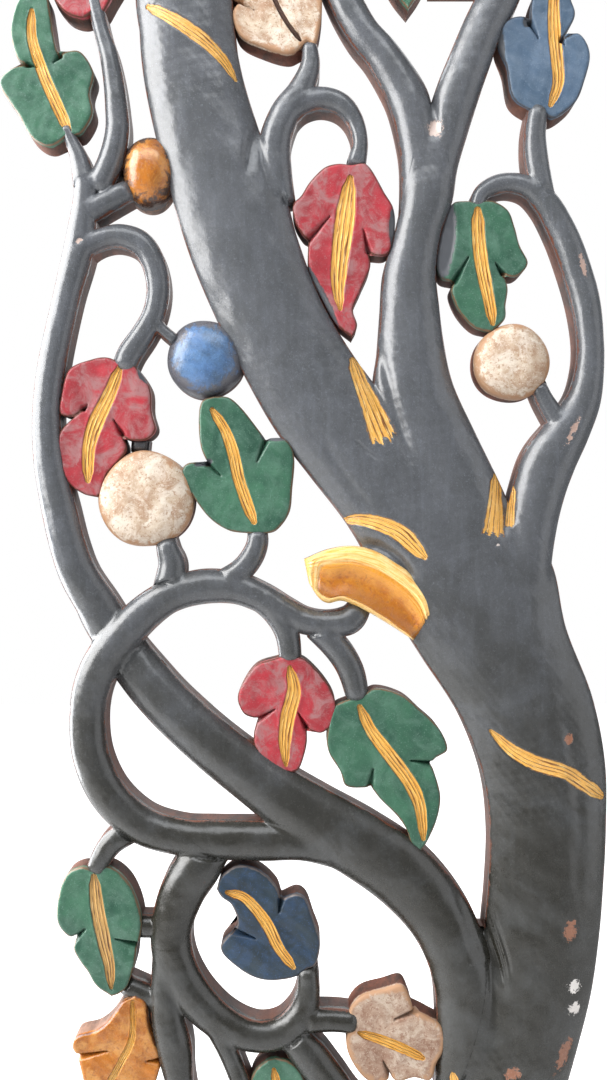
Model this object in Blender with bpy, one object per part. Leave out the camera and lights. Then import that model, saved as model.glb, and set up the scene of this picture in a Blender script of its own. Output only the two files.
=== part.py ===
# Carved wooden wall panel: an openwork tree with leaves and fruits, cut from one plank.
# The front faces -Y, the flat back lies in the plane y = 0 and +Z is up. Metres.
# The origin is on the back of the trunk, where the plank lies against the wall.

import bpy
import bmesh
import math
import numpy as np

for thing in list(bpy.data.objects):
    bpy.data.objects.remove(thing, do_unlink=True)


# Sizes of the plank and its carving
# The drawing below is laid out in squares of half a millimetre, x to the right and y down.
grid_spacing = 0.0005
origin_x = 303.0
origin_y = 335.0

wall_height = 0.0155
crown_rise = 0.0105
rise_width = 0.0090
leaf_top = 0.0182
leaf_chamfer = 0.0014
leaf_wall = leaf_top - leaf_chamfer
fruit_wall = 0.0150
fruit_rise = 0.0085
path_tolerance = 0.00080
cut_depth = 0.0020
cut_step = 0.00013


# Branches: x, y, half width in squares, and how far the branch dips or lifts in millimetres
branches = {
    "left_stem": [(87, 152, 9, 0), (85, 200, 12, 0), (79, 246, 15, 0), (66, 298, 13.5, 0),
                  (52.5, 360, 14, 0), (46.5, 410, 14, 0), (49, 460, 15.5, 0),
                  (59, 510, 17.5, 0), (67.5, 545, 18, 0), (78.5, 576, 19, -1),
                  (99, 610, 21, -3), (119, 645, 22, -5)],
    "diagonal": [(98, 611, 21, -3), (119, 645, 23, -5), (143, 676, 24.5, -2), (172, 708, 25, 0),
                 (215, 747, 26, 0), (263, 784, 28, 0), (310, 817, 32.5, 0), (361, 846, 33.5, 0),
                 (406, 878, 34, 0), (442, 921, 32, 0), (463, 973, 31, 0), (471, 1030, 34, -1),
                 (471, 1090, 36, -2)],
    "crotch_web": [(474, 911, 9, -3), (480, 965, 14, -1)],
    "loop": [(304, 842, 18, 0), (262, 841, 20, 0), (215, 840, 19.5, 0), (179, 837, 18.5, 0),
             (141, 825, 19, 0), (109, 796, 19, 0), (91, 757, 18.5, 0), (87.5, 715, 18, 0),
             (94, 680, 18.5, 1), (112, 648, 19, 2), (140, 617, 18, 2), (168, 597, 17, 1),
             (200, 587, 17.5, 0), (235, 588, 16, 0), (262, 598, 15, 0), (285, 611, 14, 0),
             (305, 621, 13.5, 0), (328, 624, 13, 0), (350, 620, 14, 0), (365, 610, 12, -1)],
    "twig_cream_fruit": [(165, 536, 10, 0), (168, 550, 11.5, 0), (172, 566, 14, 0),
                         (168, 588, 15, 0)],
    "stem_green_leaf": [(257, 528, 9.5, 0), (257, 543, 10.5, 0), (251, 558, 11.5, 0),
                        (240, 571, 12, 0), (222, 582, 12, 0)],
    "stem_red_leaf": [(255, 596, 12, -1), (275, 612, 13, 0), (287, 634, 12, 0),
                      (291, 664, 11, 0)],
    "stem_long_leaf": [(315, 628, 12, 0), (334, 645, 13.5, 0), (346, 661, 13.5, 0),
                       (353, 677, 13, 0), (359, 703, 11, 0)],
    "twig_upper_red": [(93, -6, 8, 0), (97, 12, 8, 0), (102, 32, 8, 0), (108, 52, 9, 0),
                       (113, 78, 10, 0), (116, 105, 11, 0), (117, 132, 12, 0),
                       (110, 162, 13, 0), (95, 192, 13, 0)],
    "twig_upper_green": [(64, 124, 6, 0), (72, 142, 7, 0), (79, 158, 9, 0), (85, 184, 12, 0)],
    "twig_ochre_fruit": [(84, 214, 13, 0), (104, 203, 12, 0), (132, 188, 11, 0)],
    "arch_red_leaf": [(76, 262, 11, 0), (85, 248, 11, 0), (101, 239, 11, 0), (120, 236, 12, 0),
                      (140, 243, 12.5, 0), (152.5, 261, 12, 0), (158, 287, 11.5, 0),
                      (154, 313, 11.5, 0), (143, 334, 12, 0), (130, 353, 12.5, 0),
                      (122, 372, 12, 0)],
    "twig_blue_fruit": [(150, 308, 6, 0), (160, 327, 6, 0), (177, 342, 6, 0)],
    "stem_cream_leaf": [(309, 40, 7, 0), (310, 66, 10, 0), (300, 91, 13, 0), (285, 113, 15, 0),
                        (275, 142, 16, 0), (276, 172, 16, 0), (284, 205, 12, 0)],
    "arch_middle_leaf": [(279, 152, 10, 0), (284, 126, 10, 0), (298, 106, 11, 0),
                         (319, 98, 11.5, 0), (340, 103, 11, 0), (354, 119, 9, 0),
                         (360, 142, 8, 0), (356, 166, 10, 0)],
    "limb_middle": [(400, -198, 11, 0), (362, -184, 12, 0), (330, -150, 13, 0),
                    (316, -108, 14, 0), (319, -66, 15, 0), (332, -30, 15.5, 0),
                    (347, 3, 16.5, 0), (363, 31, 16.5, 0), (380, 51, 17.5, 0),
                    (395, 73, 19, 0), (408, 97, 20.5, 0), (416, 128, 20, 0),
                    (421, 160, 20, 0), (421, 200, 20, 0), (416, 235, 18, 0)],
    "limb_right": [(395, -199, 11, 0), (440, -192, 12, 0), (484, -167, 13, 0),
                   (510, -130, 15, 0), (521, -86, 17, 0), (514, -40, 19, 0), (498, -2, 20.5, 0),
                   (483, 27, 20, 0), (470, 60, 21, 0), (458, 92, 22, 0), (446, 130, 22, 0),
                   (437, 165, 21, 0), (431, 200, 21, 0), (420, 235, 17, 0)],
    "arch_right_leaf": [(476, 210, 8, 0), (481, 194, 8, 0), (495, 185, 9.5, 0), (512, 182.5, 10, 0),
                        (530, 187.5, 11, 0), (546, 202, 13, 0), (558.5, 223, 14, 0),
                        (571, 252, 14.7, 0), (585, 298, 14.7, 0), (590.5, 340, 13.5, 0),
                        (589.5, 372, 14.5, 0), (583, 402, 17.5, 0), (567, 432, 22.5, 0),
                        (550, 460, 26.5, 0), (540, 487, 26.5, 0), (532, 520, 26, 0),
                        (527, 560, 25, 0)],
    "stem_blue_leaf": [(543, 92, 11, 0), (538, 112, 10.5, 0), (535, 134, 11, 0),
                       (537, 162, 12, 0), (544, 196, 11, 0)],
    "twig_right_fruit": [(537, 382, 8, 0), (545, 400, 9, 0), (560, 424, 11, 0)],
    "stem_lower_green": [(128, 833, 12, -1), (113, 842, 12, 0), (103, 855, 11, 0),
                         (93, 876, 9, 0)],
    "lower_loop": [(213, 846, 20, -2), (197, 868, 23.5, 0), (181.5, 894, 22.5, 0),
                   (171.5, 928, 20.5, 0), (174, 960, 20.5, 0), (189, 991, 20, 0),
                   (212, 1016, 18.5, 0), (236, 1031, 17, 0), (260, 1037, 16, 0),
                   (284, 1032, 16, 0), (301, 1015, 15, 0), (308, 992, 12, 0),
                   (307, 965, 10.5, 0)],
    "outer_root": [(164, 940, 11, -1), (165, 980, 14, 0), (167, 1015, 16.5, 0), (174, 1048, 18, 0),
                   (180, 1085, 14, 0), (190, 1130, 14, 0), (210, 1180, 15, 0),
                   (246, 1228, 17, 0), (296, 1268, 20, 0), (372, 1296, 24, 0)],
    "inner_root": [(197, 998, 11, -1), (216, 1028, 11, 0), (229, 1054, 10, 0),
                   (241, 1084, 10, 0), (254, 1122, 12, 0), (282, 1166, 13, 0),
                   (326, 1206, 14, 0), (400, 1238, 16, 0)],
    "root_arm": [(288, 1034, 14, -1), (308, 1055, 18, 0), (327, 1079, 18, 0),
                 (352, 1110, 17, 0), (394, 1142, 16, 0), (450, 1166, 16, 0)],
    "stem_lower_cream": [(303, 1021, 13, 0), (333, 1020, 12, 0), (360, 1023, 12, 0)],
    "crown_left": [(182, 12, 45, 0), (176, -40, 41, 0), (170, -90, 34, 0), (174, -135, 25, 0),
                   (194, -168, 17, 0), (222, -184, 12, 0), (246, -184, 10, 0)],
    "twig_top_fruit": [(160, -84, 13, 0), (126, -100, 12, 0), (98, -128, 11, 0),
                       (82, -172, 10, 0)],
    "stem_hanging_leaf": [(402, -196, 9, 0), (404, -150, 9, 0), (404, -96, 8, 0)],
    "twig_top_right": [(518, -92, 12, 0), (543, -98, 11, 0), (564, -120, 9, 0)],
    "bridge_top": [(430, -24, 12, -2), (482, -24, 12, -2)],
    "bridge_left": [(130, 444, 7, -4), (148, 446, 6, -4)],
    "bridge_lower": [(134, 928, 12, -3), (160, 928, 12, -3)],
    "bridge_ochre": [(122, 986, 11, -3), (160, 1004, 12, -3)],
    "twig_root_fruit": [(192, 1140, 12, 0), (160, 1156, 10, 0), (132, 1178, 10, 0)],
    "twig_root_leaf": [(520, 1120, 13, 0), (552, 1136, 12, 0), (570, 1162, 9, 0)],
}

# Broad limbs: left edge x, y, right edge x, y and dip in millimetres
broad_limbs = {
    "trunk": [(138, -5, 232, -5, 0), (142, 65, 239, 60, 0), (154, 130, 257, 124, 0),
              (174, 205, 284, 190, 0), (192, 262, 298, 240, 0), (216, 318, 320, 298, 0),
              (246, 378, 346, 344, 0), (276, 430, 376, 386, 0), (310, 475, 420, 436, 0),
              (345, 520, 466, 470, 0), (370, 562, 512, 506, 0), (396, 614, 551, 562, 0),
              (425, 661, 566, 628, 0), (460, 715, 592, 696, 0), (483, 775, 605, 762, 0),
              (490, 832, 606, 828, 0), (488, 888, 603, 890, 0), (484, 935, 599, 938, 0),
              (484, 985, 591, 994, 0), (470, 1046, 577, 1050, 0), (448, 1104, 561, 1106, 0),
              (420, 1176, 541, 1176, 0), (386, 1250, 530, 1250, 0), (346, 1330, 542, 1330, 0)],
    "merged_limb": [(405, 190, 452, 192, 0), (394, 235, 441, 235, 0), (384, 270, 436, 270, 0),
                    (381, 310, 439, 305, 0), (378, 350, 444, 344, 0), (374, 390, 453, 384, 0),
                    (386, 440, 474, 430, 0), (412, 500, 502, 488, 0), (440, 560, 528, 548, 0)],
}

# Leaves: where the stem meets the leaf, the tip, and each side as two lobes with a notch between
leaves = {
    "green_top_left": dict(
        base=(70, 136), tip=(38, -16),
        left=[[(50, 147), (32, 138), (18, 114), (3, 92), (1, 80), (12, 70)],
              [(17, 58), (11, 30), (20, 0)]],
        left_notch=(28, 66),
        right=[[(82, 134), (93, 114), (90, 94), (94, 74), (82, 54), (68, 53)],
               [(55, 42), (51, 16), (47, -4)]],
        right_notch=(60, 58)),
    "red_top": dict(
        base=(95, 12), tip=(84, -100),
        left=[[(84, 19), (67, 14), (53, -3), (48, -20), (53, -36)],
              [(58, -52), (66, -84)]],
        left_notch=(66, -38),
        right=[[(103, 14), (114, -4), (124, -22), (126, -38)],
               [(116, -54), (104, -84)]],
        right_notch=(112, -38)),
    "cream_top": dict(
        base=(307, 43), tip=(250, -52),
        left=[[(290, 55), (262, 48), (240, 36), (233, 15)], [(232, -4), (234, -30)]],
        left_notch=(240, 2),
        right=[[(316, 44), (322, 10), (318, -18)], [(296, -34), (272, -52)]],
        right_notch=(302, -16)),
    "red_middle": dict(
        base=(351, 166), tip=(352, 338),
        left=[[(338, 165), (324, 169), (310, 183), (301, 197), (293, 206), (295, 222),
               (303, 236)],
              [(308, 250), (309, 270), (322, 299), (337, 325)]],
        left_notch=(309, 240),
        right=[[(367, 166), (384, 193), (394, 212), (394, 236), (388, 254), (376, 256)],
               [(370, 268), (361, 290), (353, 310), (357, 326)]],
        right_notch=(368, 252)),
    "blue_top_right": dict(
        base=(542, 114), tip=(552, -30),
        left=[[(527, 110), (512, 97), (506, 68), (498, 44), (504, 24), (520, 18)],
              [(530, 12), (532, 0), (540, -18)]],
        left_notch=(530, 24),
        right=[[(554, 119), (574, 104), (583, 84), (589, 55), (578, 35)],
               [(574, 18), (570, 0), (564, -16)]],
        right_notch=(561, 41)),
    "green_right": dict(
        base=(477, 204), tip=(491, 333),
        left=[[(464, 202), (451, 206), (442, 232), (437, 262), (441, 278), (452, 282)],
              [(451, 293), (459, 312), (474, 328)]],
        left_notch=(454, 282),
        right=[[(492, 202), (507, 211), (514, 228), (519, 246), (527, 264), (516, 277)],
               [(507, 288), (505, 306), (504, 320)]],
        right_notch=(502, 274)),
    "red_left": dict(
        base=(122, 364), tip=(98, 497),
        left=[[(108, 358), (92, 360), (70, 370), (62, 396), (61, 414), (74, 416)],
              [(60, 434), (62, 462), (68, 482), (84, 494)]],
        left_notch=(84, 409),
        right=[[(134, 365), (150, 388), (152, 412), (156, 430), (146, 440), (130, 440)],
               [(126, 452), (108, 474), (102, 492)]],
        right_notch=(122, 434)),
    "green_middle": dict(
        base=(262, 534), tip=(214, 397),
        left=[[(246, 533), (228, 530), (208, 516), (189, 489), (182, 472), (190, 463),
               (208, 466)],
              [(201, 446), (199, 420), (202, 402)]],
        left_notch=(208, 464),
        right=[[(276, 530), (289, 512), (292, 488), (294, 456), (286, 440), (272, 438)],
               [(257, 428), (242, 409), (229, 398)]],
        right_notch=(266, 440)),
    "red_lower": dict(
        base=(291, 655), tip=(292, 772),
        left=[[(276, 658), (256, 665), (243, 682), (238, 698), (244, 713), (256, 718)],
              [(254, 733), (256, 748), (270, 766)]],
        left_notch=(258, 719),
        right=[[(306, 660), (325, 680), (335, 700), (333, 722), (322, 732), (312, 730)],
               [(307, 740), (304, 755), (299, 768)]],
        right_notch=(306, 727)),
    "green_lower": dict(
        base=(360, 697), tip=(420, 851),
        left=[[(346, 700), (333, 708), (327, 734), (329, 752), (340, 770), (346, 785),
               (364, 787)],
              [(380, 798), (396, 814), (406, 828), (411, 842)]],
        left_notch=(370, 785),
        right=[[(376, 688), (402, 695), (420, 710), (438, 727), (447, 748), (436, 757)],
               [(434, 772), (440, 796), (436, 820), (426, 842)]],
        right_notch=(430, 763)),
    "green_low_left": dict(
        base=(93, 870), tip=(112, 995),
        left=[[(82, 866), (67, 874), (59, 896), (58, 920), (67, 934)],
              [(75, 950), (88, 970), (97, 985)]],
        left_notch=(76, 937),
        right=[[(109, 866), (126, 878), (137, 898), (142, 920), (140, 938)],
               [(135, 962), (128, 984), (120, 992)]],
        right_notch=(137, 944)),
    "dark_blue": dict(
        base=(306, 968), tip=(217, 888),
        left=[[(294, 976), (269, 979), (248, 973), (227, 957), (222, 945), (228, 934)],
              [(238, 920), (232, 904), (222, 896)]],
        left_notch=(238, 934),
        right=[[(316, 962), (320, 940), (313, 918), (306, 899), (296, 893)],
               [(275, 884), (258, 869), (238, 865), (222, 875)]],
        right_notch=(281, 899)),
    "ochre_low": dict(
        base=(136, 994), tip=(98, 1136),
        left=[[(123, 1001), (110, 1019), (96, 1030), (78, 1035), (73, 1045)],
              [(82, 1070), (88, 1100), (90, 1124)]],
        left_notch=(78, 1056),
        right=[[(146, 1002), (150, 1026), (158, 1048), (160, 1056)],
               [(160, 1068), (148, 1098), (120, 1124)]],
        right_notch=(160, 1060)),
    "cream_low": dict(
        base=(350, 1026), tip=(436, 1062),
        left=[[(349, 1010), (361, 995), (384, 988), (402, 984), (410, 998), (413, 1008)],
              [(428, 1016), (442, 1026), (444, 1046)]],
        left_notch=(416, 1010),
        right=[[(346, 1040), (350, 1056), (362, 1074), (376, 1083), (388, 1078)],
               [(398, 1080), (414, 1076), (430, 1078)]],
        right_notch=(389, 1074)),
}

# Plain leaves past the edges of what is shown: stem end, tip and half width
plain_leaves = {
    "hanging_top": ((404, -114), (408, 10), 36),
    "green_crown": ((240, -188), (316, -148), 30),
    "ochre_crown": ((566, -116), (566, -220), 32),
    "green_root": ((272, 1058), (292, 1158), 28),
    "red_root": ((566, 1160), (574, 1272), 30),
    "blue_root": ((222, 1216), (128, 1282), 32),
}

# Fruits: centre x, y and the two half sizes in squares
fruits = {
    "ochre_fruit": (149, 171, 28, 36),
    "blue_fruit": (205, 358, 39, 39),
    "cream_fruit": (146, 499, 48, 48),
    "right_fruit": (512, 362, 38, 38),
    "top_fruit": (78, -192, 34, 36),
    "root_fruit": (112, 1204, 36, 36),
}

# The shelf of fungus on the trunk: outline from its upper left corner
bracket = [(304, 559), (329, 549), (356, 546), (384, 554), (410, 572), (426, 593), (431, 628),
           (411, 640), (390, 626), (366, 612), (342, 602), (328, 604), (316, 594), (307, 576)]
bracket_top = 0.0235
bracket_edge = 0.0165
bracket_chamfer = 0.0045


def place(points):
    """Squares of the drawing to metres in the panel's plane."""
    p = np.asarray(points, dtype=float)
    out = np.empty_like(p)
    out[:, 0] = (p[:, 0] - origin_x) * grid_spacing
    out[:, 1] = (origin_y - p[:, 1]) * grid_spacing
    return out


def smooth_rows(rows, per_span):
    """A Catmull-Rom curve through the rows, every column at once."""
    rows = np.asarray(rows, dtype=float)
    padded = np.vstack([2 * rows[0] - rows[1], rows, 2 * rows[-1] - rows[-2]])
    out = []
    for i in range(1, len(padded) - 2):
        a, b, c, d = padded[i - 1], padded[i], padded[i + 1], padded[i + 2]
        for t in np.linspace(0, 1, per_span, endpoint=False):
            out.append(0.5 * (2 * b + (c - a) * t + (2 * a - 5 * b + 4 * c - d) * t ** 2
                              + (3 * b - a - 3 * c + d) * t ** 3))
    out.append(rows[-1])
    return np.array(out)


def thin_rows(rows, tolerance):
    """Keeps only the rows that the straight runs between kept rows would miss."""
    keep = {0, len(rows) - 1}
    spans = [(0, len(rows) - 1)]
    while spans:
        first, last = spans.pop()
        if last - first < 2:
            continue
        t = np.linspace(0, 1, last - first + 1)[:, None]
        run = rows[last] - rows[first]
        away = rows[first:last + 1] - rows[first]
        length = np.dot(run, run)
        along = np.clip(away @ run / length, 0, 1)[:, None] if length > 0 else t * 0
        miss = np.linalg.norm(away - along * run, axis=1)
        worst = int(np.argmax(miss))
        if miss[worst] > tolerance:
            keep.add(first + worst)
            spans.append((first, first + worst))
            spans.append((first + worst, last))
    return rows[sorted(keep)]


def branch_edges(stations):
    """Left and right edges from centre stations with half widths."""
    rows = smooth_rows(stations, 6)
    run = np.gradient(rows[:, :2], axis=0)
    run /= np.linalg.norm(run, axis=1)[:, None]
    side = np.column_stack([run[:, 1], -run[:, 0]])
    left = rows[:, :2] + side * rows[:, 2:3]
    right = rows[:, :2] - side * rows[:, 2:3]
    return left, right, rows[:, 3]


def rise_of(half_width):
    """How far a branch swells above its wall: wide limbs stand prouder than twigs."""
    return crown_rise * (1 - math.exp(-half_width / rise_width))


def closed_object(name, verts, faces):
    mesh = bpy.data.meshes.new(name)
    mesh.from_pydata(verts, [], faces)
    work = bmesh.new()
    work.from_mesh(mesh)
    bmesh.ops.recalc_face_normals(work, faces=work.faces)
    bmesh.ops.triangulate(work, faces=[f for f in work.faces if len(f.verts) > 4])
    work.to_mesh(mesh)
    work.free()
    obj = bpy.data.objects.new(name, mesh)
    bpy.context.scene.collection.objects.link(obj)
    return obj


def limb_object(name, left, right, dips, depth, across):
    """A limb: vertical walls from behind the back plane and a domed top between its edges."""
    left = place(left)
    right = place(right)
    rows = thin_rows(np.column_stack([left, right, np.asarray(dips) * 0.001]), path_tolerance)
    shares = np.linspace(-1, 1, across)
    verts = []
    ring = across + 2
    for xl, zl, xr, zr, dip in rows:
        rise = rise_of(0.5 * math.hypot(xr - xl, zr - zl))
        verts.append((xl, depth, zl))
        for s in shares:
            t = (s + 1) / 2
            height = wall_height + dip + rise * (1 - abs(s) ** 2.4) ** 0.8
            verts.append((xl + (xr - xl) * t, -height, zl + (zr - zl) * t))
        verts.append((xr, depth, zr))
    faces = []
    for i in range(len(rows) - 1):
        for j in range(ring):
            k = (j + 1) % ring
            faces.append((i * ring + j, i * ring + k, (i + 1) * ring + k, (i + 1) * ring + j))
    faces.append(tuple(range(ring)))
    faces.append(tuple((len(rows) - 1) * ring + j for j in range(ring)))
    return closed_object(name, verts, faces)


def plate_object(name, outline, depth, wall, top, chamfer):
    """A flat plate with a vertical wall and a chamfered rim."""
    outline = np.asarray(outline)
    count = len(outline)
    after = np.roll(outline, -1, axis=0) - outline
    before = outline - np.roll(outline, 1, axis=0)
    area = 0.5 * np.sum(outline[:, 0] * np.roll(outline[:, 1], -1)
                        - outline[:, 1] * np.roll(outline[:, 0], -1))
    turn = 1 if area > 0 else -1
    after /= np.linalg.norm(after, axis=1)[:, None]
    before /= np.linalg.norm(before, axis=1)[:, None]
    inward = np.column_stack([-(after + before)[:, 1], (after + before)[:, 0]]) * turn
    inward /= np.maximum(np.linalg.norm(inward, axis=1)[:, None], 1e-9)
    inner = outline + inward * chamfer
    verts = [(x, depth, z) for x, z in outline]
    verts += [(x, -wall, z) for x, z in outline]
    verts += [(x, -top, z) for x, z in inner]
    faces = [tuple(range(count)), tuple(range(2 * count, 3 * count))]
    for ring in (0, count):
        for i in range(count):
            k = (i + 1) % count
            faces.append((ring + i, ring + k, ring + count + k, ring + count + i))
    return closed_object(name, verts, faces)


def leaf_outline(leaf):
    """Round the leaf from its stem along the left lobes to the tip and back along the right."""
    points = []
    for side, back in (("left", False), ("right", True)):
        first, second = leaf[side]
        notch = leaf[side + "_notch"]
        lobe = smooth_rows([leaf["base"]] + first + [notch], 3)
        tip = smooth_rows([notch] + second + [leaf["tip"]], 3)
        run = np.vstack([thin_rows(place(lobe), path_tolerance),
                         thin_rows(place(tip), path_tolerance)[1:]])
        points.append(run[::-1] if back else run)
    return np.vstack([points[0], points[1][1:-1]])


def plain_outline(base, tip, half):
    """A plain leaf: one bulge each side, a small waist, and a point."""
    base = np.array(base, dtype=float)
    run = np.array(tip, dtype=float) - base
    side = np.array([run[1], -run[0]]) / np.linalg.norm(run)
    shares = np.array([0.0, 0.06, 0.18, 0.34, 0.50, 0.60, 0.72, 0.86, 1.0])
    widths = np.array([0.18, 0.60, 0.92, 1.0, 0.84, 0.62, 0.60, 0.36, 0.0]) * half
    left = base + run * shares[:, None] + side * widths[:, None]
    right = base + run * shares[:, None] - side * widths[:, None]
    both = np.vstack([smooth_rows(left, 2), smooth_rows(right, 2)[::-1][1:]])
    return place(both)


def fruit_object(name, centre, half_x, half_z, depth):
    """A domed fruit: a vertical wall below and three rings over it."""
    sides = 18
    rings = [(1.0, depth), (1.0, -fruit_wall), (0.86, -fruit_wall - 0.55 * fruit_rise),
             (0.52, -fruit_wall - 0.90 * fruit_rise)]
    verts = []
    for share, y in rings:
        for i in range(sides):
            angle = 2 * math.pi * i / sides + 0.11
            verts.append((centre[0] + half_x * share * math.cos(angle), y,
                          centre[1] + half_z * share * math.sin(angle)))
    verts.append((centre[0], -fruit_wall - fruit_rise, centre[1]))
    faces = [tuple(range(sides))]
    for r in range(len(rings) - 1):
        for i in range(sides):
            k = (i + 1) % sides
            faces.append((r * sides + i, r * sides + k, (r + 1) * sides + k, (r + 1) * sides + i))
    last = (len(rings) - 1) * sides
    for i in range(sides):
        faces.append((last + i, last + (i + 1) % sides, len(verts) - 1))
    return closed_object(name, verts, faces)


# Cut every form proud of the back, so that no two of them share a face
shapes = []
depth = cut_depth
for name, stations in branches.items():
    left, right, dips = branch_edges(stations)
    across = 5 if max(s[2] for s in stations) > 16 else 4
    shapes.append(limb_object(name, left, right, dips, depth, across))
    depth += cut_step
for name, rows in broad_limbs.items():
    rows = smooth_rows(rows, 6)
    shapes.append(limb_object(name, rows[:, 0:2], rows[:, 2:4], rows[:, 4], depth, 7))
    depth += cut_step
for name, leaf in leaves.items():
    shapes.append(plate_object(name, leaf_outline(leaf), depth, leaf_wall, leaf_top,
                               leaf_chamfer))
    depth += cut_step
for name, (base, tip, half) in plain_leaves.items():
    shapes.append(plate_object(name, plain_outline(base, tip, half), depth, leaf_wall,
                               leaf_top, leaf_chamfer))
    depth += cut_step
for name, (x, y, half_x, half_y) in fruits.items():
    centre = place([(x, y)])[0]
    shapes.append(fruit_object(name, centre, half_x * grid_spacing, half_y * grid_spacing, depth))
    depth += cut_step
shelf = thin_rows(place(smooth_rows(bracket + bracket[:1], 3)), path_tolerance)[:-1]
shapes.append(plate_object("bracket", shelf, depth, bracket_edge, bracket_top,
                           bracket_chamfer))

# Join the forms into one plank and plane the back flat
panel = bpy.data.objects["trunk"]
panel.name = "carved_panel"
forms = bpy.data.collections.new("forms")
bpy.context.scene.collection.children.link(forms)
for shape in shapes:
    if shape is panel:
        continue
    bpy.context.scene.collection.objects.unlink(shape)
    forms.objects.link(shape)
    shape.hide_render = True
    shape.display_type = "WIRE"

join = panel.modifiers.new("join", "BOOLEAN")
join.operation = "UNION"
join.solver = "EXACT"
join.operand_type = "COLLECTION"
join.collection = forms

bpy.ops.mesh.primitive_cube_add(size=1.0, location=(0.0, 0.05, -0.1))
plane_off = bpy.context.active_object
plane_off.name = "back_plane_cutter"
plane_off.scale = (0.6, 0.1, 1.4)
plane_off.hide_render = True
plane_off.display_type = "WIRE"
flatten = panel.modifiers.new("flatten_back", "BOOLEAN")
flatten.operation = "DIFFERENCE"
flatten.solver = "EXACT"
flatten.object = plane_off

paint = bpy.data.materials.new("charcoal_paint_on_wood")
paint.use_nodes = True
shader = paint.node_tree.nodes["Principled BSDF"]
shader.inputs["Base Color"].default_value = (0.075, 0.080, 0.088, 1.0)
shader.inputs["Roughness"].default_value = 0.42
shader.inputs["Metallic"].default_value = 0.0
panel.data.materials.append(paint)
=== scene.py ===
import math
import bpy
import bmesh
import numpy as np
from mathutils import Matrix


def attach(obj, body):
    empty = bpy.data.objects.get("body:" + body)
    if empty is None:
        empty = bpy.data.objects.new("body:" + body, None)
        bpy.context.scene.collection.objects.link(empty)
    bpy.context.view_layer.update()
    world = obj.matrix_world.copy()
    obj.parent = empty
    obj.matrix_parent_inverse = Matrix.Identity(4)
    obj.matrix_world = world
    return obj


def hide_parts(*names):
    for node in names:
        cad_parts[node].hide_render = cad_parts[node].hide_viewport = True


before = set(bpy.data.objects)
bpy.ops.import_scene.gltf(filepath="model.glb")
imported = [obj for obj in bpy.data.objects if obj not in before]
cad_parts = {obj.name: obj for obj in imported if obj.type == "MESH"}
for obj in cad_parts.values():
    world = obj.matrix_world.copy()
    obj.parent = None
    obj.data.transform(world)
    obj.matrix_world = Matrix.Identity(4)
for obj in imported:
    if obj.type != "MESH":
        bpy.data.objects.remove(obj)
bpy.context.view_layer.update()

print("frame loaded")

# the drawing is in squares of half a millimetre, x to the right and y down; the back lies on the wall
square = 0.0005
originX, originY = 303.0, 335.0
fullTurn, phase = 6.283, 1.7


def place(points):
    # drawing squares to metres in the panel's plane: (x - originX) * square and (originY - y) * square
    p = np.asarray(points, dtype=float)
    return np.stack([(p[..., 0] - originX) * square, (originY - p[..., 1]) * square], -1)


def smoothRows(rows, perSpan):
    # Catmull-Rom: half of (2b + (c-a)t + (2a-5b+4c-d)t^2 + (3b-a-3c+d)t^3) for all columns
    rows = np.asarray(rows, dtype=float)
    pad = np.vstack([2 * rows[0] - rows[1], rows, 2 * rows[-1] - rows[-2]])
    t = np.linspace(0, 1, perSpan, endpoint=False)[None, :, None]
    a, b, c, d = (pad[k:len(pad) - 3 + k, None, :] for k in range(4))
    body = 0.5 * (2 * b + (c - a) * t + (2 * a - 5 * b + 4 * c - d) * t ** 2 + (3 * b - a - 3 * c + d) * t ** 3)
    return np.vstack([body.reshape(-1, rows.shape[1]), rows[-1]])


def arcShare(points):
    # running length along the points
    return np.concatenate([[0], np.cumsum(np.linalg.norm(np.diff(points, axis=0), axis=1))])


def spread(rows, count):
    # rows read again at count places, evenly by length
    run = arcShare(rows[:, :2])
    at = np.linspace(0, run[-1], count)
    return np.column_stack([np.interp(at, run, rows[:, k]) for k in range(rows.shape[1])])


def ripple(x, z, size):
    # soft uneven surface between -1 and 1: the mean of five sine waves in turned directions
    total = 0
    for k, (turn, share) in enumerate([(0.3, 1.0), (1.4, 1.31), (2.2, 0.77), (2.9, 1.7), (0.9, 2.3)]):
        total = total + np.sin((x * math.cos(turn) + z * math.sin(turn)) * share * fullTurn / size + phase * k)
    return total / 5


def fadeOut(gap, reach):
    # 1 at no distance, falling evenly to 0 at reach
    return np.clip(1 - gap / reach, 0, 1)


def pathField(x, z, path):
    # nearest point of a path: signed distance across it, length along it, how far past its ends, and the gap
    p = np.column_stack([x.ravel(), z.ravel()])
    start = path[:-1]
    step = path[1:] - start
    size = np.linalg.norm(step, axis=1)
    run = np.concatenate([[0], np.cumsum(size)])
    best = np.full(len(p), 1e9)
    across, along, past = np.zeros((3, len(p)))
    for k in range(len(start)):
        off = p - start[k]
        t = off @ step[k] / size[k] ** 2
        held = np.clip(t, 0, 1)
        gap = np.hypot(off[:, 0] - held * step[k, 0], off[:, 1] - held * step[k, 1])
        near = gap < best
        best[near] = gap[near]
        across[near] = ((off[:, 0] * step[k, 1] - off[:, 1] * step[k, 0]) / size[k])[near]
        along[near] = (run[k] + held * size[k])[near]
        past[near] = (np.abs(t - held) * size[k])[near] if k in (0, len(start) - 1) else 0
    return [values.reshape(x.shape) for values in (across, along, past, best)]


strokeCut = dict(narrowEnd=0.6, endGrowth=6.0, endSquash=0.8, edge=1.08, slope=0.22, flutes=4, fluteDepth=0.45,
                 burrWidth=0.16, fray=0.8, frayStep=0.35)


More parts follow.
